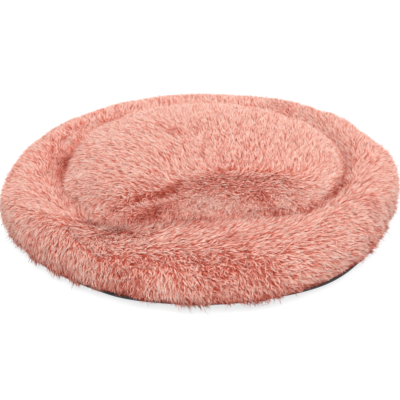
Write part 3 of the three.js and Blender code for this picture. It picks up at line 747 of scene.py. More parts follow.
def hairs_on(grid, guides, seed, rules, seam_end, room=None):
    """Every hair's joints, its sideways direction, the direction its shading faces, its tone, its painted
    shade, which deepens its colour, and its turn. Hairs of a lock start spread round its root and lean to its
    tip, more so towards the end. A joint lies along the comb by its share of the length, and above the cloth
    by a height that climbs fast at first and then levels out. The cloth's own fall under the tip is followed
    by the square of that share."""
    rng = np.random.default_rng(seed)
    normals = grid_normals(grid)
    turn, share = lock_roots(grid, rules["spacing"], rng)
    root, normal = between(grid, turn, share), unit(between(normals, turn, share))
    locks = len(turn)
    by_seam = np.exp(-(((share - seam_end) * side_sizes(grid)[1] / SEAM_REACH) ** 2))
    rough = np.maximum(ruffled(root[:, 0], root[:, 1]), SEAM_ROUGH * by_seam)
    comb = combed(root, normal, guides, seed + 1)
    sway = rng.normal(0, 1, locks) * (rules["sway"] + ROUGH_SWAY * rough)
    comb = unit(comb + np.cross(normal, comb) * sway[:, None])
    side = np.cross(normal, comb)
    reach = rules["length"] * rng.uniform(*REACH_RANGE, locks) * (1 - ROUGH_SHORTER * rough)
    upright = 1 + SIDE_LIFT * np.maximum(rough, 1 - np.clip(normal[:, 2] * STEEP, 0, 1))
    lift = rules["rise"] * rng.uniform(*LIFT_RANGE, locks) * upright
    filled = by_seam * smooth_through(VALLEY_FILL[:, None], turn, closed=True)[:, 0]
    lift = lift * (1 + filled)
    by_hem = np.zeros(locks)
    if room is not None:
        by_hem = np.exp(-((share * side_sizes(grid)[1] / HEM_REACH) ** 2))
        gap = hem_gap(turn)
        uneven = 1 + PUFF_UNEVEN * slow_waves(*root[:, :2].T, PUFF_SIZE, 5)
        puff = HEM_PUFF * np.exp(-(((share - PUFF_PLACE) / PUFF_WIDTH) ** 2)) * uneven
        lift, reach = lift * (room(share) + puff), reach * (rules["hem"] + (1 - rules["hem"]) * room(share))
        lift, reach = lift * (1 - gap * by_hem), reach * (1 - gap * by_hem)
    curl = rng.normal(0, rules["curl"], locks) * (1 + rough)
    fall = fall_under(grid, turn, share, root, normal, comb, reach)
    x, y = root[:, 0], root[:, 1]
    patch = PATCH_TONE * slow_waves(x, y, PATCH_SIZE, seed + 2, 9)
    patch = patch + SPECK_TONE * slow_waves(x, y, SPECK_SIZE, seed + 3, 9)
    # Wide patches of tone; the redder ones there are in part painted shade.
    gap = (x[:, None] - TONE_AND_SHADE_PATCHES[:, 0]) ** 2 + (y[:, None] - TONE_AND_SHADE_PATCHES[:, 1]) ** 2
    patch = patch + (TONE_AND_SHADE_PATCHES[:, 3] * np.exp(-gap / TONE_AND_SHADE_PATCHES[:, 2] ** 2)).sum(-1)
    # Painted shade along the partings: a redder and deeper colour.
    shade_lined = np.minimum(along_lines(PAINTED_SHADE_LINES, x, y), 1) * rng.uniform(*SHADE_LINE_RANGE, locks)
    # Now and then a lock is much redder: partly random tone, partly painted shade of gaps between locks.
    lock_tone = TONE_PALEST + patch + rules["tone"] - TONE_AND_GAP_SHADE_SPREAD * rng.exponential(1, locks) ** 2
    # Ruffled locks are painted a little redder, as painted shade of the untidy pile.
    lock_tone = lock_tone - TONE_ROUGH_SHADE * rough - TONE_SHADE_LINED * shade_lined
    # Painted shade: redder over the hollow of the valley, and deep near the hem, close to the floor.
    hollow_shade = np.exp(-(((share - seam_end) * side_sizes(grid)[1] / HOLLOW_SHADE_REACH) ** 2))
    lock_tone = lock_tone - HEM_DEEP_SHADE * by_hem / 2 - HOLLOW_SHADE_RED * hollow_shade
    # Painted shade: how far each lock's colour is pulled down to its deep root colour.
    lock_deep_shade = (DEEP_AND_GAP_SHADE_SPREAD + SEAM_DEEP_SHADE * by_seam) * rng.exponential(1, locks) ** 2 + DEEP_SHADE_LINED * shade_lined
    lock_deep_shade = lock_deep_shade + HEM_DEEP_SHADE * by_hem * rng.uniform(*HEM_SHADE_RANGE, locks)
    facing = unit(normal + PILE_FACING + np.array([0, 0, VALLEY_LIGHT]) * filled[:, None])

    many = np.repeat(np.arange(locks), rules["hairs"])
    hairs = len(many)
    aside = rng.normal(0, rules["spread"], (2, hairs))
    start = root[many] + comb[many] * aside[0][:, None] + side[many] * aside[1][:, None]
    own_reach = reach[many] * rng.uniform(*OWN_REACH, hairs)
    own_lift = lift[many] * rng.uniform(*OWN_LIFT, hairs)
    bend = np.linspace(0, 1, rules["joints"])
    cling = rules["cling"] * bend**CLING_CURVE
    height = 1 - (1 - bend) ** 2.0
    wander = rng.normal(0, WANDER, (hairs, rules["joints"], 1))
    joints = np.empty((hairs, rules["joints"], 3))
    for j, b in enumerate(bend):
        down = fall[many] * b**2
        own = (start + comb[many] * (own_reach * b)[:, None]
               + normal[many] * (own_lift * height[j] + down)[:, None]
               + side[many] * ((curl[many] * b**2)[:, None] + wander[:, j] * (j > 0)))
        lead = (root[many] + comb[many] * (reach[many] * b)[:, None]
                + normal[many] * (lift[many] * height[j] + down)[:, None]
                + side[many] * (curl[many] * b**2)[:, None])
        joints[:, j] = own * (1 - cling[j]) + lead * cling[j]
    joints[:, 0] -= normal[many] * SUNK
    joints[..., 2] += np.maximum(FLOOR_CLEARANCE - joints[..., 2], 0)
    tone = np.clip(lock_tone[many] + rng.normal(0, HAIR_TONE, hairs), 0.0, 1.0)
    # Each hair's painted shade is its lock's, jittered a little.
    deep_shade = np.clip(lock_deep_shade[many] + rng.normal(0, HAIR_DEEP_SHADE, hairs), 0.0, DEEP_SHADE_MOST)
    return joints, side[many], facing[many], tone, deep_shade, turn[many]


def spikes(joints, side, facing, tone, deep_shade, radius):
    """Points, shading normals, faces and map places of closed spikes: three points round every joint but the
    last, which is the tip. The points stand at thirds of a turn round the hair's own direction, and the
    radius shrinks by the square of the share of the way to the tip. Across the map lies the tone, and up it
    the way to the tip, cut short by the hair's painted shade, so that a shaded hair shows its deep root
    colour further up."""
    hairs, count = joints.shape[:2]
    rings = count - 1
    along = unit(np.gradient(joints, axis=1))[:, :rings]
    across = unit(side[:, None] - (side[:, None] * along).sum(-1, keepdims=True) * along)
    upward = np.cross(along, across)
    third = 2 * math.pi * np.arange(3) / 3 + math.pi / 2
    ring = (across[:, :, None] * np.cos(third)[:, None] + upward[:, :, None] * (0.75 * np.sin(third))[:, None])
    share = np.arange(rings) / rings
    body = joints[:, :rings, None] + ring * (radius * (1 - share**2 * 0.6))[None, :, None, None]
    points = np.concatenate([body.reshape(hairs, 3 * rings, 3), joints[:, rings:]], 1)
    outward = np.concatenate([ring.reshape(hairs, 3 * rings, 3), facing[:, None]], 1)
    outward = unit(outward * (1 - SOFT_SHADE) + facing[:, None] * SOFT_SHADE)
    spin = np.arange(3)
    after = (spin + 1) % 3
    quads = [np.stack([spin, after, after + 3, spin + 3], -1) + 3 * level for level in range(rings - 1)]
    tips = np.stack([spin, after], -1) + 3 * (rings - 1)
    tips = np.concatenate([tips, np.full((3, 1), 3 * rings)], 1)
    loops = np.concatenate([q.ravel() for q in quads] + [tips.ravel(), [2, 1, 0]]).astype(int)
    sizes = np.array([4] * 3 * (rings - 1) + [3] * 4)
    rise = (loops // 3) / rings * 0.96 + 0.02
    rise[-2] += 0.01
    slant = np.where(loops == 3 * rings, 0, loops % 3 - 1) * 0.004
    spots = np.stack([tone[:, None] * 0.96 + 0.02 + slant, rise * (1 - deep_shade[:, None])], -1)
    loops = np.arange(hairs)[:, None] * (3 * rings + 1) + loops
    points, outward = points.reshape(-1, 3), outward.reshape(-1, 3)
    return points, outward, loops.ravel(), np.tile(sizes, hairs), spots.reshape(-1, 2)


def hair_mesh(name, parts):
    """One mesh from several layers of spikes, with the map that colours them and their soft shading
    normals."""
    points, outward, loops, sizes, spots = zip(*parts)
    offsets = np.cumsum([0] + [len(p) for p in points[:-1]])
    loops = np.concatenate([part + offset for part, offset in zip(loops, offsets)]).astype(np.int32)
    points, sizes = np.concatenate(points).astype(np.float32), np.concatenate(sizes).astype(np.int32)
    mesh = bpy.data.meshes.new(name)
    mesh.vertices.add(len(points))
    mesh.vertices.foreach_set("co", points.ravel())
    mesh.loops.add(len(loops))
    mesh.loops.foreach_set("vertex_index", loops)
    mesh.polygons.add(len(sizes))
    mesh.polygons.foreach_set("loop_start", (np.cumsum(sizes) - sizes).astype(np.int32))
    mesh.polygons.foreach_set("loop_total", sizes)
    mesh.polygons.foreach_set("use_smooth", np.ones(len(sizes), bool))
    colours = mesh.uv_layers.new(name="OFBake")
    colours.data.foreach_set("uv", np.concatenate(spots).astype(np.float32).ravel())
    mesh.update(calc_edges=True)
    mesh.normals_split_custom_set_from_vertices(np.concatenate(outward))
    print(name, len(sizes) + int((sizes == 4).sum()), "triangles")
    return mesh


# %% [markdown]
# The colour of a lock follows the same map. Dyed pile is deep and warm at the root and pale and slightly
# dusty at the tip, which wears and bleaches. The dark root is also painted shade: little light reaches it
# there, and what does comes back redder from bouncing between the hairs. Across the map the tone runs from
# redder locks to paler ones. Seen in bulk the fibre hardly shines, so the finish is rough and mirrors
# almost no light.

# %% Fur finish


def fur_finish():
    """Two ramps from root to tip, one for red locks and one for pale locks, mixed by the tone across the
    map."""
    material, tree, shader = finish_named("salmon_pile", Roughness=0.8, Specular_IOR_Level=0.04)
    spot = node(tree, "ShaderNodeUVMap", uv_map="OFBake")
    split = node(tree, "ShaderNodeSeparateXYZ", {0: spot.outputs["UV"]})
    tone, rise = split.outputs["X"], split.outputs["Y"]
    # The root end of each ramp is partly the dye and partly painted shade of the deep pile.
    red = colour_ramp(tree, rise, [(0.0, (0.22, 0.022, 0.013)), (0.35, (0.54, 0.070, 0.042)),
                                   (0.75, (0.88, 0.19, 0.126)), (1.0, (0.97, 0.31, 0.22))])
    pale = colour_ramp(tree, rise, [(0.0, (0.62, 0.105, 0.068)), (0.35, (0.95, 0.43, 0.33)),
                                    (0.75, (1.00, 0.77, 0.67)), (1.0, (1.00, 0.90, 0.82))])
    mixed = node(tree, "ShaderNodeMix", {0: tone, 6: red, 7: pale}, data_type="RGBA")
    tree.links.new(mixed.outputs[2], shader.inputs["Base Color"])
    return material


pile_finish = fur_finish()

# %% Grow the pile
SECTORS = ["right_back", "back_right", "back_left", "left_back", "left_front", "front_left", "front_right",
           "right_front"]


def placed(name, mesh, finish, stands_for=(), body="bed"):
    """Puts a finished mesh into the scene as a piece of the bed, with its finish and body."""
    mesh.materials.clear()
    mesh.materials.append(finish)
    piece = bpy.data.objects.new(name, mesh)
    bpy.context.scene.collection.objects.link(piece)
    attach(piece, body)
    if stands_for:
        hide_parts(*stands_for)
    return piece


def hem_room(share):
    """The share of its full rise that the pile has there, because the backing comes up to the hem."""
    rise = ease(share * (1 - SEAM_PATH) / HEM_SHARE)
    return (HEM_DEPTH + (BACKING_DEPTH - HEM_DEPTH) * rise) / BACKING_DEPTH


def grow(kind, grid, guides, seed, sectors, seam_end, room=None):
    """All layers of pile over one grid, as one mesh for each sector of the turn, so that no piece is too
    heavy."""
    layers = [(rules["radius"], hairs_on(grid, guides, seed + 10 * number, rules, seam_end, room))
              for number, rules in enumerate(LAYERS.values())]
    for number in range(sectors):
        parts = []
        for radius, (joints, side, facing, tone, deep_shade, turn) in layers:
            mine = np.floor((turn % 1) * sectors) == number
            parts.append(spikes(joints[mine], side[mine], facing[mine], tone[mine], deep_shade[mine], radius))
        name = f"{kind}_{SECTORS[number * len(SECTORS) // sectors]}"
        placed(name, hair_mesh(name, parts), pile_finish)


grow("ring_pile", ring_grid, RING_COMB, 11, 8, 1.0, hem_room)
grow("dome_pile", dome_grid, DOME_COMB, 12, 4, 0.0)

# %% [markdown]
# ## The backing itself
# The pile hides the backing almost everywhere, but the gaps between the locks look down on it, and the
# solid bed needs it. It is a knit about two millimetres thick with its pile roots. Each of the four ring
# panels is a closed wall between the settled grid and the same grid moved inwards, and so is the round
# panel over the pad. The edges of neighbouring panels stop a little over half a millimetre short of each
# other, and the seam's thread covers that gap.

# %% Walls between two grids
BACKING_THICKNESS = 0.002
MERGE = 1e-6


def sunk(grid, depth):
    """The grid moved inwards by a depth, square to itself."""
    return grid - grid_normals(grid) * depth


def wall(outer, inner, wrap):
    """Points and faces of a closed wall: the outer grid, the inner grid turned round, and rims between their
    edges. A grid that goes all the way round has rims only along its first and last path."""
    turns, paths = outer.shape[:2]
    skin = grid_faces(turns, paths, wrap)
    count = turns * paths
    i = np.arange(turns if wrap else turns - 1)
    here, after = i * paths, (i + 1) % turns * paths
    low = np.stack([after, here, here + count, after + count], -1)
    high = np.stack([here, after, after + count, here + count], -1) + paths - 1
    faces = [skin, skin[:, ::-1] + count, low, high]
    if not wrap:
        j = np.arange(paths - 1)
        start = np.stack([j, j + 1, j + 1 + count, j + count], -1)
        end = np.stack([j + 1, j, j + count, j + 1 + count], -1) + (turns - 1) * paths
        faces += [start, end]
    return np.concatenate([outer.reshape(-1, 3), inner.reshape(-1, 3)]), np.concatenate(faces)


def closed_mesh(name, points, faces):
    """A smooth mesh whose points in the same place are merged, whose flat leftovers are dropped, and
    whose faces all point outwards."""
    mesh = bpy.data.meshes.new(name)
    mesh.from_pydata(points.tolist(), [], faces.tolist())
    work = bmesh.new()
    work.from_mesh(mesh)
    bmesh.ops.remove_doubles(work, verts=work.verts, dist=MERGE)
    bmesh.ops.dissolve_degenerate(work, edges=work.edges, dist=MERGE)
    bmesh.ops.recalc_face_normals(work, faces=work.faces)
    work.to_mesh(mesh)
    work.free()
    mesh.polygons.foreach_set("use_smooth", np.ones(len(mesh.polygons), bool))
    print(name, len(mesh.polygons), "faces")
    return mesh


def knit_finish():
    """A knit: small round loops from a cell pattern in the bump, and slow patches of lighter and darker
    red."""
    stops = [(0.3, (0.30, 0.045, 0.028)), (0.7, (0.44, 0.080, 0.048))]
    material, tree, shader, place = flecked_finish("knit_backing", {"Scale": 18.0, "Detail": 3.0}, stops,
                                                   Roughness=0.9, Specular_IOR_Level=0.1)
    loops = node(tree, "ShaderNodeTexVoronoi", {"Vector": place, "Scale": 700.0})
    raise_by(tree, shader, loops.outputs["Distance"], 0.0004, 0.6)
    return material


# %% Fur backing panels
knit = knit_finish()
PANELS = {"right": -0.125, "back": 0.125, "left": 0.375, "front": 0.625}


def panel_columns(start):
    """The columns of a ring grid from one panel seam to the next, a quarter of the turn further on."""
    return (int(start * RING_TURNS) + np.arange(RING_TURNS // 4 + 1)) % RING_TURNS


def trimmed(grid):
    """Draws the two end columns in towards their neighbours, to leave half of the seam's gap at each end."""
    short = grid.copy()
    for end, beside in ((0, 1), (-1, -2)):
        step = grid[beside] - grid[end]
        short[end] += step * (SEAM_GAP / 2 / np.linalg.norm(step, axis=-1, keepdims=True))
    return short


for side, start in PANELS.items():
    columns = panel_columns(start)
    outer, inner = trimmed(ring_grid[columns]), trimmed(sunk(ring_grid, BACKING_THICKNESS)[columns])
    name = f"ring_backing_{side}"
    panel = placed(name, closed_mesh(name, *wall(outer, inner, wrap=False)), knit, [f"ring_fur_{side}"])

dome_wall = wall(dome_grid, sunk(dome_grid, BACKING_THICKNESS), wrap=True)
cover = placed("centre_backing", closed_mesh("centre_backing", *dome_wall), knit, ["centre_fur"])

# %% [markdown]
# ## Inside the cover
# Under the fur is a second skin, a thin white non-woven bag, so that the loose fibre stays together when
# the cover is washed. Its top follows the fur through the valley, where it is sewn to a baffle, an upright
# band that keeps the ring's filling from drifting into the pad. Its base lies on the base cloth and folds
# up over the zip. None of it shows in the picture, but it is there, a few millimetres further in, and each
# piece follows the settled cloth.

# %% Depths and heights inside
INSIDE_STEP = 2
BAG_TOP_SINK, BAG_THICKNESS, LAYER_GAP = 0.00435, 0.0015, 0.00035
FILL_SINK = BAG_TOP_SINK + BAG_THICKNESS + LAYER_GAP
CLOTH_THICKNESS, BAFFLE_THICKNESS = 0.002, 0.002
BAG_BASE_HEIGHT = CLOTH_THICKNESS + LAYER_GAP
FILL_HEIGHT = BAG_BASE_HEIGHT + BAG_THICKNESS + LAYER_GAP
ring_coarse, dome_coarse = ring_grid[::INSIDE_STEP], dome_grid[::INSIDE_STEP]
coarse_turn = np.arange(0, RING_TURNS, INSIDE_STEP) / RING_TURNS


def at_radius(radius, height):
    """A column of points of those radii and heights, one for each coarse turn."""
    return swept(coarse_turn, radius, np.broadcast_to(height, radius.shape))[:, None]


def bag_layer(sink):
    """The ring's grid and the dome's grid moved in by the same depth and joined by a line under the
    valley."""
    ring, dome = sunk(ring_coarse, sink), sunk(dome_coarse, sink)
    valley = (ring_coarse[:, -1:] + dome_coarse[:, :1]) / 2
    valley = valley - np.array([0, 0, sink + LAYER_GAP])
    return np.concatenate([ring[:, :-1], valley, dome[:, 1:]], 1)


bag_top_outer, bag_top_inner = bag_layer(BAG_TOP_SINK), bag_layer(BAG_TOP_SINK + BAG_THICKNESS)
ring_fill_skin, dome_fill_skin = sunk(ring_coarse, FILL_SINK), sunk(dome_coarse, FILL_SINK)
valley_radius = np.hypot(*np.moveaxis((ring_coarse[:, -1] + dome_coarse[:, 0])[:, :2] / 2, -1, 0))
fill_top = ring_coarse[:, -1, 2] - FILL_SINK - 2 * LAYER_GAP


def grid_area(grid):
    """The area of a grid: for each quad, half the size of the cross product of its two diagonals."""
    after = np.roll(grid, -1, 0)
    first, second = after[:, 1:] - grid[:, :-1], grid[:, 1:] - after[:, :-1]
    return float(np.linalg.norm(np.cross(first, second), axis=-1).sum() / 2)


print("bag top area", round(grid_area(bag_top_outer), 3), "m2, valley radius",
      valley_radius.min().round(3), "to", valley_radius.max().round(3))

# %% Bag top, baffle and fillings
def bag_finish():
    """Non-woven cloth: short fibres pressed together, which show as fine worms, and rows of small bonding
    dots."""
    flecks = {"Scale": 420.0, "Detail": 4.0, "Distortion": 2.0}
    stops = [(0.35, (0.70, 0.69, 0.65)), (0.65, (0.84, 0.83, 0.79))]
    material, tree, shader, place = flecked_finish("non_woven_bag", flecks, stops, Roughness=0.85,
                                                   Specular_IOR_Level=0.2)
    dots = node(tree, "ShaderNodeTexVoronoi", {"Vector": place, "Scale": 330.0, "Randomness": 0.15})
    raise_by(tree, shader, dots.outputs["Distance"], 0.0003, 0.5)
    return material


def filling_finish():
    """Loose polyester fibre: soft white clumps a few centimetres across, with fine threads over them."""
    stops = [(0.3, (0.80, 0.79, 0.76)), (0.7, (0.90, 0.89, 0.87))]
    material, tree, shader, place = flecked_finish("loose_fibre", {"Scale": 35.0, "Detail": 3.0}, stops,
                                                   Roughness=1.0, Specular_IOR_Level=0.1)
    threads = node(tree, "ShaderNodeTexNoise",
                   {"Vector": place, "Scale": 500.0, "Detail": 5.0, "Distortion": 3.0})
    raise_by(tree, shader, threads.outputs["Fac"], 0.0015, 0.8)
    return material


bag_cloth, loose_fibre = bag_finish(), filling_finish()
bag_top = placed("bag_top_sheet", closed_mesh("bag_top_sheet", *wall(bag_top_outer, bag_top_inner, wrap=True)),
                 bag_cloth, ["inner_bag_top"])

baffle_out, baffle_in = [np.concatenate([at_radius(valley_radius + half, height)
                                         for height in (FILL_HEIGHT, fill_top)], 1)
                         for half in (BAFFLE_THICKNESS / 2, -BAFFLE_THICKNESS / 2)]
baffle = placed("baffle_band", closed_mesh("baffle_band", *wall(baffle_out, baffle_in, wrap=True)), bag_cloth,
                ["baffle_wall"])

# %% [markdown]
# The fillings are what makes the bed soft. Each is one closed heap: a skin that follows the bag, a flat
# bottom, and an upright side along the baffle.

# %% Fillings
wall_room = BAFFLE_THICKNESS / 2 + LAYER_GAP
flat_edge = np.hypot(*np.moveaxis(ring_place(coarse_turn, 0.0)[:, :2], -1, 0)) - BAG_THICKNESS - LAYER_GAP


def heap(name, skin, rim, stands_for):
    """A closed solid from a skin that is closed by a rim of columns of points from its last path to its
    first."""
    loop = np.concatenate([skin, *rim], 1)
    turns, paths = loop.shape[:2]
    ends = np.concatenate([loop, loop[:, :1]], 1)
    faces = grid_faces(turns, paths + 1, wrap=True)
    piece = placed(name, closed_mesh(name, ends.reshape(-1, 3), faces), loose_fibre, [stands_for])
    return piece


heap("ring_fibre", ring_fill_skin[:, :-1],
     [at_radius(valley_radius + wall_room, fill_top), at_radius(valley_radius + wall_room, FILL_HEIGHT),
      at_radius(flat_edge, FILL_HEIGHT)],
     "ring_filling")

FOLD_HALF_TOP, FOLD_SLOPE, FOLD_HALF_LENGTH = 0.0182, 0.006, 0.3102
FOLD_HEIGHT = 0.011


def fold_share(x, y, grow=0.0, soft=1.0):
    """From 0 on the flat base to 1 over the zip's channel: a ramp across the fold times a ramp at its
    ends."""
    slope = FOLD_SLOPE * soft
    sideways = np.clip((FOLD_HALF_TOP + slope + grow - np.abs(y)) / slope, 0, 1)
    endways = np.clip((FOLD_HALF_LENGTH + slope + grow - np.abs(x)) / slope, 0, 1)
    return sideways * endways


def pad_underside(rows):
    """Rings of points from the baffle to the middle, raised where the fibre bridges the fold over the zip."""
    radius = (valley_radius - wall_room)[:, None] * np.linspace(1, 0, rows)[None, :]
    flat = swept(coarse_turn[:, None], radius, np.zeros_like(radius))
    over = FOLD_HEIGHT + 2 * LAYER_GAP + BAG_THICKNESS
    flat[..., 2] = FILL_HEIGHT + (over - FILL_HEIGHT) * fold_share(flat[..., 0], flat[..., 1], 0.010, 4.0)
    return flat


under = pad_underside(28)
heap("pad_fibre", dome_fill_skin[:, ::-1][:, :-1], [at_radius(valley_radius - wall_room, fill_top), under],
     "pad_filling")

# %% [markdown]
# ## The base
# Dark woven cloth closes the cover below. It is cut as two halves with a zip between them, and its edge
# curls up a couple of centimetres to meet the fur, which is the dark line under the fur in the picture.
# Where the zip runs, the cloth is folded up into a shallow channel, so that the zip doesn't rub on the
# floor. Each half is one grid: columns run across the bed from the zip to the edge, closest together at the
# fold, and on up the curl. At the two hem gaps the curl bulges out by a few millimetres, so that it shows
# under the fur.

# %% Base cloth grids
CLOTH_COLUMNS = 193
CLOTH_LIFT = 0.0006
SLOT_HALF, SLOT_HALF_LENGTH, CHANNEL_DEPTH = 0.00575, 0.298, 0.009
NEAR_ROWS = np.array([0.0, 0.0060, 0.0120, 0.0180, 0.0184, 0.0212, 0.0240, 0.0246, 0.0320])
FAR_SHARES = np.linspace(0, 1, 17)[1:]
CURL_PATHS = np.linspace(0, SEAM_PATH - 0.004, 6)[1:]
PEEK = 0.008
column = np.linspace(0, 1, CLOTH_COLUMNS)
column = np.clip(column, 0.0003, 0.9997)


def half_plan(side, near_start):
    """x and y of one half's rows. A column's line joins the edge points at the same share of the way from
    left to right, in front and behind; near rows lie at set distances from the zip, far rows at shares of
    the rest."""
    front, back = ring_place(0.5 + column / 2, 0.0), ring_place(0.5 - column / 2, 0.0)
    edge = back if side > 0 else front
    reach = np.abs(edge[:, 1:2])
    near = np.maximum(NEAR_ROWS[None, :], near_start[:, None])
    far = NEAR_ROWS[-1] + (reach - NEAR_ROWS[-1]) * FAR_SHARES[None, :]
    y = side * np.minimum(np.concatenate([near, np.maximum(far, near[:, -1:])], 1), reach)
    run = np.maximum(back[:, 1:2] - front[:, 1:2], 1e-9)
    x = front[:, :1] + (back[:, :1] - front[:, :1]) * (y - front[:, 1:2]) / run
    return x, y


def cloth_half(side):
    """The lower and upper grids of one half of the base cloth. Its start jumps from the seam's gap to the
    slot's edge where the zip runs. Slow waves of a few tenths of a millimetre are the cloth's own
    slackness."""
    spine = ring_place(0.5 + column / 2, 0.0)[:, 0]
    start = np.where(np.abs(spine) < SLOT_HALF_LENGTH, SLOT_HALF, SEAM_GAP / 2)
    x, y = half_plan(side, start)
    fold = fold_share(x, y)
    slack = 0.00025 * slow_waves(x, y, 0.09, 31) * (1 - fold)
    lower = np.stack([x, y, CLOTH_LIFT * (1 - fold) + CHANNEL_DEPTH * fold + slack], -1)
    upper = lower + np.array([0, 0, CLOTH_THICKNESS - CLOTH_LIFT / 2])
    turn = (0.5 - side * column / 2)[:, None]
    lift = CLOTH_LIFT * (1 - CURL_PATHS / SEAM_PATH)[None, :, None] * np.array([0, 0, 1])
    angle = 2 * math.pi * turn
    outward = np.stack([np.cos(angle), np.sin(angle), 0 * angle], -1)
    peek = PEEK * (hem_gap(turn) * np.sin(math.pi * CURL_PATHS / SEAM_PATH))[..., None] * outward
    curl_out = ring_place(turn, CURL_PATHS[None, :], 0.0) + lift + peek
    curl_in = ring_place(turn, CURL_PATHS[None, :], CLOTH_THICKNESS) + lift + peek
    return np.concatenate([lower, curl_out], 1), np.concatenate([upper, curl_in], 1)


# %% [markdown]
# Woven cloth is threads that pass over and under each other. On a real base the threads are under a
# millimetre thick, so they are left to the material: where the product of two sine waves is positive, the
# threads that run one way are on top, and elsewhere the others are. The height of the top thread is the
# absolute value of its own wave.

# %% Woven finishes


def weave(tree, place, pitch):
    """The height, from 0 to 1, of a plain weave of threads with that pitch along X and along Y."""
    axes = node(tree, "ShaderNodeSeparateXYZ", {0: place}).outputs
    waves = []
    for axis in ("X", "Y"):
        turned = node(tree, "ShaderNodeMath", {0: axes[axis], 1: math.pi / pitch}, operation="MULTIPLY")
        waves.append(node(tree, "ShaderNodeMath", {0: turned.outputs[0]}, operation="SINE").outputs[0])
    both = node(tree, "ShaderNodeMath", {0: waves[0], 1: waves[1]}, operation="MULTIPLY")
    over = node(tree, "ShaderNodeMath", {0: both.outputs[0], 1: 0.0}, operation="GREATER_THAN")
    ridges = [node(tree, "ShaderNodeMath", {0: wave}, operation="ABSOLUTE").outputs[0] for wave in waves]
    return node(tree, "ShaderNodeMix", {0: over.outputs[0], 2: ridges[0], 3: ridges[1]}).outputs[0]


def woven_finish(name, pitch, low, high, gloss):
    """Threads coloured from a dark gap to a lighter crown, which is painted shade between the threads, broken
    up by slow patches of dust and wear.
    """
    material, tree, shader = finish_named(name, Roughness=gloss, Specular_IOR_Level=0.3)
    place = node(tree, "ShaderNodeTexCoord").outputs["Object"]
    height = weave(tree, place, pitch)
    wear = node(tree, "ShaderNodeTexNoise", {"Vector": place, "Scale": 14.0, "Detail": 4.0})
    # Painted shade: the colour follows the threads' height, dark in the gaps and lighter on the crowns.
    threads = colour_ramp(tree, height, [(0.0, low), (1.0, high)])
    worn = node(tree, "ShaderNodeMix", {0: wear.outputs["Fac"], 6: threads, 7: (*high, 1.0)}, data_type="RGBA")
    tree.links.new(worn.outputs[2], shader.inputs["Base Color"])
    raise_by(tree, shader, height, pitch / 3, 0.7)
    return material


base_weave = woven_finish("base_weave", 0.0009, (0.018, 0.018, 0.020), (0.060, 0.060, 0.066), 0.75)
tape_weave = woven_finish("tape_weave", 0.0007, (0.012, 0.012, 0.014), (0.045, 0.045, 0.050), 0.65)
for side, number in (("front", -1), ("back", 1)):
    lower, upper = cloth_half(number)
    name = f"base_sheet_{side}"
    half = placed(name, closed_mesh(name, *wall(upper, lower, wrap=False)), base_weave,
                  [f"base_cloth_{side}"])

# %% Bag base
def bag_base_grids():
    """The bag's base: both halves joined over the fold, and at each end two rows that climb to the bag's
    top."""
    layers = []
    for inset in (0.0, BAG_THICKNESS):
        lower, rim_depth = BAG_BASE_HEIGHT + inset, BACKING_DEPTH + BAG_TOP_SINK + inset
        rows = []
        for side in (-1, 1):
            x, y = half_plan(side, np.zeros(CLOTH_COLUMNS))
            top = FOLD_HEIGHT + LAYER_GAP + (lower - BAG_BASE_HEIGHT)
            height = lower + (top - lower) * fold_share(x, y, CLOTH_THICKNESS + LAYER_GAP)
            flat = np.stack([x * (1 - inset / BED_RADIUS), y * (1 - inset / BED_RADIUS), height], -1)
            turn = (0.5 - side * column / 2)[:, None]
            climb = ring_place(turn, np.array([[SEAM_PATH * 0.97]]), rim_depth)
            rows.append(np.concatenate([flat, climb], 1))
        layers.append(np.concatenate([rows[0][:, ::-1], rows[1][:, 1:]], 1))
    return layers


bag_lower, bag_upper = bag_base_grids()
bag_base = placed("bag_base_sheet", closed_mesh("bag_base_sheet", *wall(bag_upper, bag_lower, wrap=False)),
                  bag_cloth, ["inner_bag_base"])

# %% [markdown]
# ## Thread and grip dots
# Stitches, grip dots and zip teeth are small shapes repeated hundreds of times. One helper places a small
# shape at many spots at once: every spot has a place and three directions, and the shape's points are
# measured along them. A stitch is a short spindle with five faces round and pointed ends.

# %% Repeat a small shape


def repeated(name, shape, faces, places, axes, finish, slot, body="bed"):
    """Copies a shape to every place: a point is the place plus its x, y and z along that spot's own axes."""
    points = places[:, None, :] + np.einsum("pk,nkd->npd", shape, axes)
    count = len(shape)
    all_faces = [tuple(corner + count * number for corner in face)
                 for number in range(len(places)) for face in faces]
    mesh = bpy.data.meshes.new(name)
    mesh.from_pydata(points.reshape(-1, 3).tolist(), [], all_faces)
    mesh.polygons.foreach_set("use_smooth", np.ones(len(mesh.polygons), bool))
    print(name, len(places), "copies,", len(all_faces), "faces")
    return placed(name, mesh, finish, body=body)


def spindle(length, radius, sides=5):
    """A stitch along its own x: two rings of points and two tips, and the faces between them."""
    angle = 2 * math.pi * np.arange(sides) / sides
    ring = np.stack([np.zeros(sides), radius * np.cos(angle), radius * np.sin(angle)], -1)
    half = np.array([length / 2, 0, 0])
    shape = np.concatenate([ring - half * 0.6, ring + half * 0.6, [-half], [half]])
    around = [(i, (i + 1) % sides, (i + 1) % sides + sides, i + sides) for i in range(sides)]
    tips = [((i + 1) % sides, i, 2 * sides) for i in range(sides)]
    tips += [(i + sides, (i + 1) % sides + sides, 2 * sides + 1) for i in range(sides)]
    return shape, around + tips


def frames(along, up):
    """Three square directions for each spot: along, sideways and up."""
    along = unit(along)
    side = unit(np.cross(up, along))
    return np.stack([along, side, np.cross(along, side)], 1)


def thread_finish(name, colour):
    """Twisted thread: light and dark flecks much finer than a stitch."""
    stops = [(0.35, tuple(0.6 * part for part in colour)), (0.65, colour)]
    return flecked_finish(name, {"Scale": 1500.0, "Detail": 2.0}, stops, Roughness=0.6,
                          Specular_IOR_Level=0.3)[0]


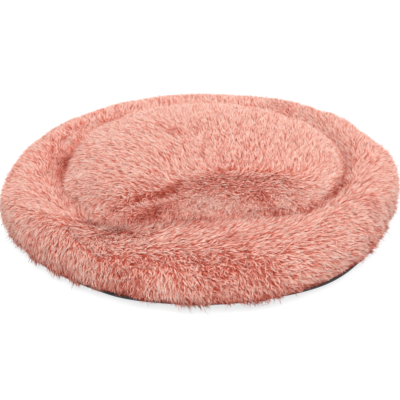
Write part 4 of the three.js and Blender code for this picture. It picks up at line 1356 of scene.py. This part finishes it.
# %% Sewn seams
def along_line(points, spacing):
    """Evenly spaced places along a line of points, with the line's direction at each."""
    steps = np.linalg.norm(np.diff(points, axis=0), axis=-1)
    total = np.concatenate([[0], np.cumsum(steps)])
    spots = np.arange(spacing / 2, total[-1], spacing)
    place = np.stack([np.interp(spots, total, points[:, k]) for k in range(3)], -1)
    ahead = np.stack([np.interp(spots + spacing / 4, total, points[:, k]) for k in range(3)], -1)
    behind = np.stack([np.interp(spots - spacing / 4, total, points[:, k]) for k in range(3)], -1)
    return place, ahead - behind


def sew(name, lines, spacing, length, radius, finish, slot):
    """A row of stitches along each line; a line is a pair of its points and its outward directions."""
    shape, faces = spindle(length, radius)
    places, axes = [], []
    for points, up in lines:
        place, direction = along_line(points, spacing)
        places.append(place)
        axes.append(frames(direction, np.broadcast_to(up, place.shape)))
    return repeated(name, shape, faces, np.concatenate(places), np.concatenate(axes), finish, slot)


def looped(line):
    """A ring of points with its first point repeated at the end."""
    return np.concatenate([line, line[:1]])


fur_thread = thread_finish("pink_thread", (0.80, 0.33, 0.25))
dark_thread = thread_finish("dark_thread", (0.060, 0.060, 0.066))
valley_line = (ring_grid[:, -1] + dome_grid[:, 0]) / 2
sew("valley_stitches", [(looped(valley_line), [0, 0, 1.0])], 0.006, 0.0046, 0.00055, fur_thread, "fur")
seams = [(ring_grid[int(turn * RING_TURNS)], [0, 0, 1.0]) for turn in PANEL_SEAMS]
seams = [(points[2:-2], [math.cos(turn * 2 * math.pi) * 0.5, math.sin(turn * 2 * math.pi) * 0.5, 1.0])
         for (points, _), turn in zip(seams, PANEL_SEAMS)]
sew("panel_stitches", seams, 0.005, 0.0038, 0.00055, fur_thread, "fur")
hem_turn = np.arange(RING_TURNS) / RING_TURNS
hem_line = ring_place(hem_turn, SEAM_PATH - 0.002, 0.0006)
sew("hem_stitches", [(looped(hem_line), [0, 0, 1.0])], 0.0045, 0.0034, 0.0005, dark_thread, "base_cloth")

# %% [markdown]
# The floor side of such a base has rows of small rubber dots, so that the bed doesn't slide. Each is a
# millimetre high. It touches the floor, stands a little over half a millimetre proud of the cloth, and its
# top sits in it.

# %% Grip dots
DOT_PITCH, DOT_RADIUS, DOT_HEIGHT = 0.024, 0.0022, 0.0010
DOT_EDGE, DOT_FOLD = 0.030, 0.034


def dot_shape(sides=8):
    """A low dome, upside down: two rings and a tip below, closed flat on top where it is bonded to the
    cloth."""
    angle = 2 * math.pi * np.arange(sides) / sides
    ring = np.stack([np.cos(angle), np.sin(angle), np.zeros(sides)], -1)
    top = ring * [DOT_RADIUS, DOT_RADIUS, 1] + [0, 0, DOT_HEIGHT]
    low = ring * [DOT_RADIUS * 0.7, DOT_RADIUS * 0.7, 1] + [0, 0, DOT_HEIGHT * 0.18]
    after = [(i + 1) % sides for i in range(sides)]
    faces = [(i, i + sides, after[i] + sides, after[i]) for i in range(sides)]
    faces += [(i + sides, 2 * sides, after[i] + sides) for i in range(sides)]
    faces.append(tuple(range(sides)))
    return np.concatenate([top, low, [[0, 0, 0]]]), faces


def dot_places():
    """Rows of dots, every other row moved by half a pitch, kept off the edge of the cloth and off the
    fold."""
    count = int(2 * BED_RADIUS / DOT_PITCH) + 2
    i, j = np.meshgrid(np.arange(-count // 2, count // 2), np.arange(-count // 2, count // 2))
    x = (i + (j % 2) / 2) * DOT_PITCH
    y = (j + 0.5) * DOT_PITCH * math.sqrt(3) / 2
    turn = np.arctan2(y, x) / (2 * math.pi) % 1
    edge = np.hypot(*np.moveaxis(ring_place(turn, 0.0)[..., :2], -1, 0))
    kept = (np.hypot(x, y) < edge - DOT_EDGE) & (np.abs(y) > DOT_FOLD)
    return np.stack([x[kept], y[kept], np.zeros(kept.sum())], -1)


rubber = flecked_finish("grip_rubber", {"Scale": 900.0},
                        [(0.3, (0.020, 0.020, 0.022)), (0.7, (0.045, 0.045, 0.048))],
                        Roughness=0.5, Specular_IOR_Level=0.4)[0]
dots = dot_places()
repeated("grip_dots", *dot_shape(), dots, np.broadcast_to(np.eye(3), (len(dots), 3, 3)), rubber, "base_cloth")

# %% [markdown]
# ## The zip
# Under the fold run two woven tapes, each with a coil of nylon wire along its inner edge. The coil really
# is one wire wound round and round, so it is a helix: it goes round an oval in Y and Z while it creeps
# along X. The slider, its pull tab and the stops are already right as solid parts, so they only get a
# darkened metal finish.

# %% Zip tapes and coils
TAPE_INNER, TAPE_OUTER, TAPE_LOW, TAPE_HIGH, TAPE_HALF = 0.000925, 0.014925, 0.00785, 0.00865, 0.3082
COIL_INNER, COIL_OUTER, COIL_LOW, COIL_HIGH, COIL_HALF = 0.00075, 0.00295, 0.0053, 0.0075, 0.2832
COIL_PITCH, WIRE_RADIUS = 0.0020, 0.00036
STEPS_ROUND, WIRE_SIDES = 10, 4


def tape_grids(side):
    """A tape's lower and upper grids: flat, with a thicker cord along the inner edge and slow waves of
    0.1 mm."""
    x = np.linspace(-TAPE_HALF, TAPE_HALF, 181)[:, None]
    across = np.array([0, 0.0006, 0.0012, 0.0020, 0.0050, 0.0080, 0.0110, 0.0128, TAPE_OUTER - TAPE_INNER])
    across = across[None, :]
    x, y = np.broadcast_arrays(x, side * (TAPE_INNER + across))
    wave = 0.00010 * np.sin(x * 2 * math.pi / 0.045 + side) * (across / across.max())
    thin = 0.00012 * ease((across - 0.0012) / 0.0012)
    lower = np.stack([x, y, TAPE_LOW + thin + wave + 0.0001], -1)
    upper = np.stack([x, y, TAPE_HIGH - thin + wave - 0.0001], -1)
    return lower, upper


def coil_points(side):
    """The wire's middle line. Its phase turns once per pitch; the last stretch at each end stays inside
    the row."""
    turns = int((2 * COIL_HALF - 4 * WIRE_RADIUS) / COIL_PITCH)
    phase = np.arange(turns * STEPS_ROUND + 1) / STEPS_ROUND
    x = (phase - turns / 2) * COIL_PITCH
    wide = (COIL_OUTER - COIL_INNER) / 2 - WIRE_RADIUS
    high = (COIL_HIGH - COIL_LOW) / 2 - WIRE_RADIUS
    y = side * ((COIL_OUTER + COIL_INNER) / 2 + wide * np.cos(2 * math.pi * phase))
    z = (COIL_HIGH + COIL_LOW) / 2 + high * np.sin(2 * math.pi * phase)
    return np.stack([x, y, z], -1)


def tube(points, radius, sides):
    """A closed tube: at every point a ring square to the line's direction, and a flat cap at each end."""
    along = unit(np.gradient(points, axis=0))
    side = unit(np.cross(along, [1.0, 0.0, 0.0]))
    up = np.cross(along, side)
    angle = 2 * math.pi * np.arange(sides) / sides
    ring = side[:, None] * np.cos(angle)[:, None] + up[:, None] * np.sin(angle)[:, None]
    skin = (points[:, None] + radius * ring).reshape(-1, 3)
    i, j = np.arange(len(points) - 1)[:, None] * sides, np.arange(sides)[None, :]
    k = (j + 1) % sides
    faces = np.stack([i + j, i + k, i + k + sides, i + j + sides], -1).reshape(-1, 4).tolist()
    last = (len(points) - 1) * sides
    return skin, faces + [list(range(sides))[::-1], [last + n for n in range(sides)]]


nylon = flecked_finish("nylon_wire", {"Scale": 600.0},
                       [(0.3, (0.010, 0.010, 0.012)), (0.7, (0.030, 0.030, 0.034))],
                       Roughness=0.32, Specular_IOR_Level=0.5)[0]
for side, number in (("front", -1), ("back", 1)):
    lower, upper = tape_grids(number)
    name = f"tape_{side}"
    tape = placed(name, closed_mesh(name, *wall(upper, lower, wrap=False)), tape_weave,
                  [f"zip_tape_{side}"])
    skin, faces = tube(coil_points(number), WIRE_RADIUS, WIRE_SIDES)
    mesh = bpy.data.meshes.new(f"coil_{side}")
    mesh.from_pydata(skin.tolist(), [], faces)
    mesh.polygons.foreach_set("use_smooth", np.ones(len(mesh.polygons), bool))
    placed(f"coil_{side}", mesh, nylon, [f"zip_coil_{side}"])
    print("coil", side, len(faces), "faces")

tape_rows = []
for number in (-1, 1):
    for distance in (0.0100, 0.0135):
        ends = np.array([[-TAPE_HALF, number * distance, TAPE_LOW], [TAPE_HALF, number * distance, TAPE_LOW]])
        tape_rows.append((ends, [0, 0, -1.0]))
sew("tape_stitches", tape_rows, 0.0035, 0.0025, 0.00028, dark_thread, "zip_tape")

# %% Darkened metal for the slider, pull tab and stops
def metal_finish():
    """Painted zinc: nearly black, satin, with paint worn thin in small specks and fine scratches in the
    bump."""
    stops = [(0.58, (0.09, 0.09, 0.095)), (0.82, (0.26, 0.255, 0.25))]
    material, tree, shader, place = flecked_finish("worn_black_metal", {"Scale": 1500.0, "Detail": 6.0}, stops,
                                                   Metallic=0.85, Roughness=0.38)
    stretched = node(tree, "ShaderNodeMapping", {"Vector": place, "Scale": (200.0, 2500.0, 2500.0)})
    scratches = node(tree, "ShaderNodeTexNoise", {"Vector": stretched.outputs[0], "Scale": 1.0, "Detail": 2.0})
    raise_by(tree, shader, scratches.outputs["Fac"], 0.0001, 0.3)
    return material


worn_metal = metal_finish()
for name in ("zip_slider", "zip_pull_tab", "zip_top_stop_front", "zip_top_stop_back", "zip_bottom_stop"):
    solid = bpy.data.objects[name]
    solid.data.materials.clear()
    solid.data.materials.append(worn_metal)
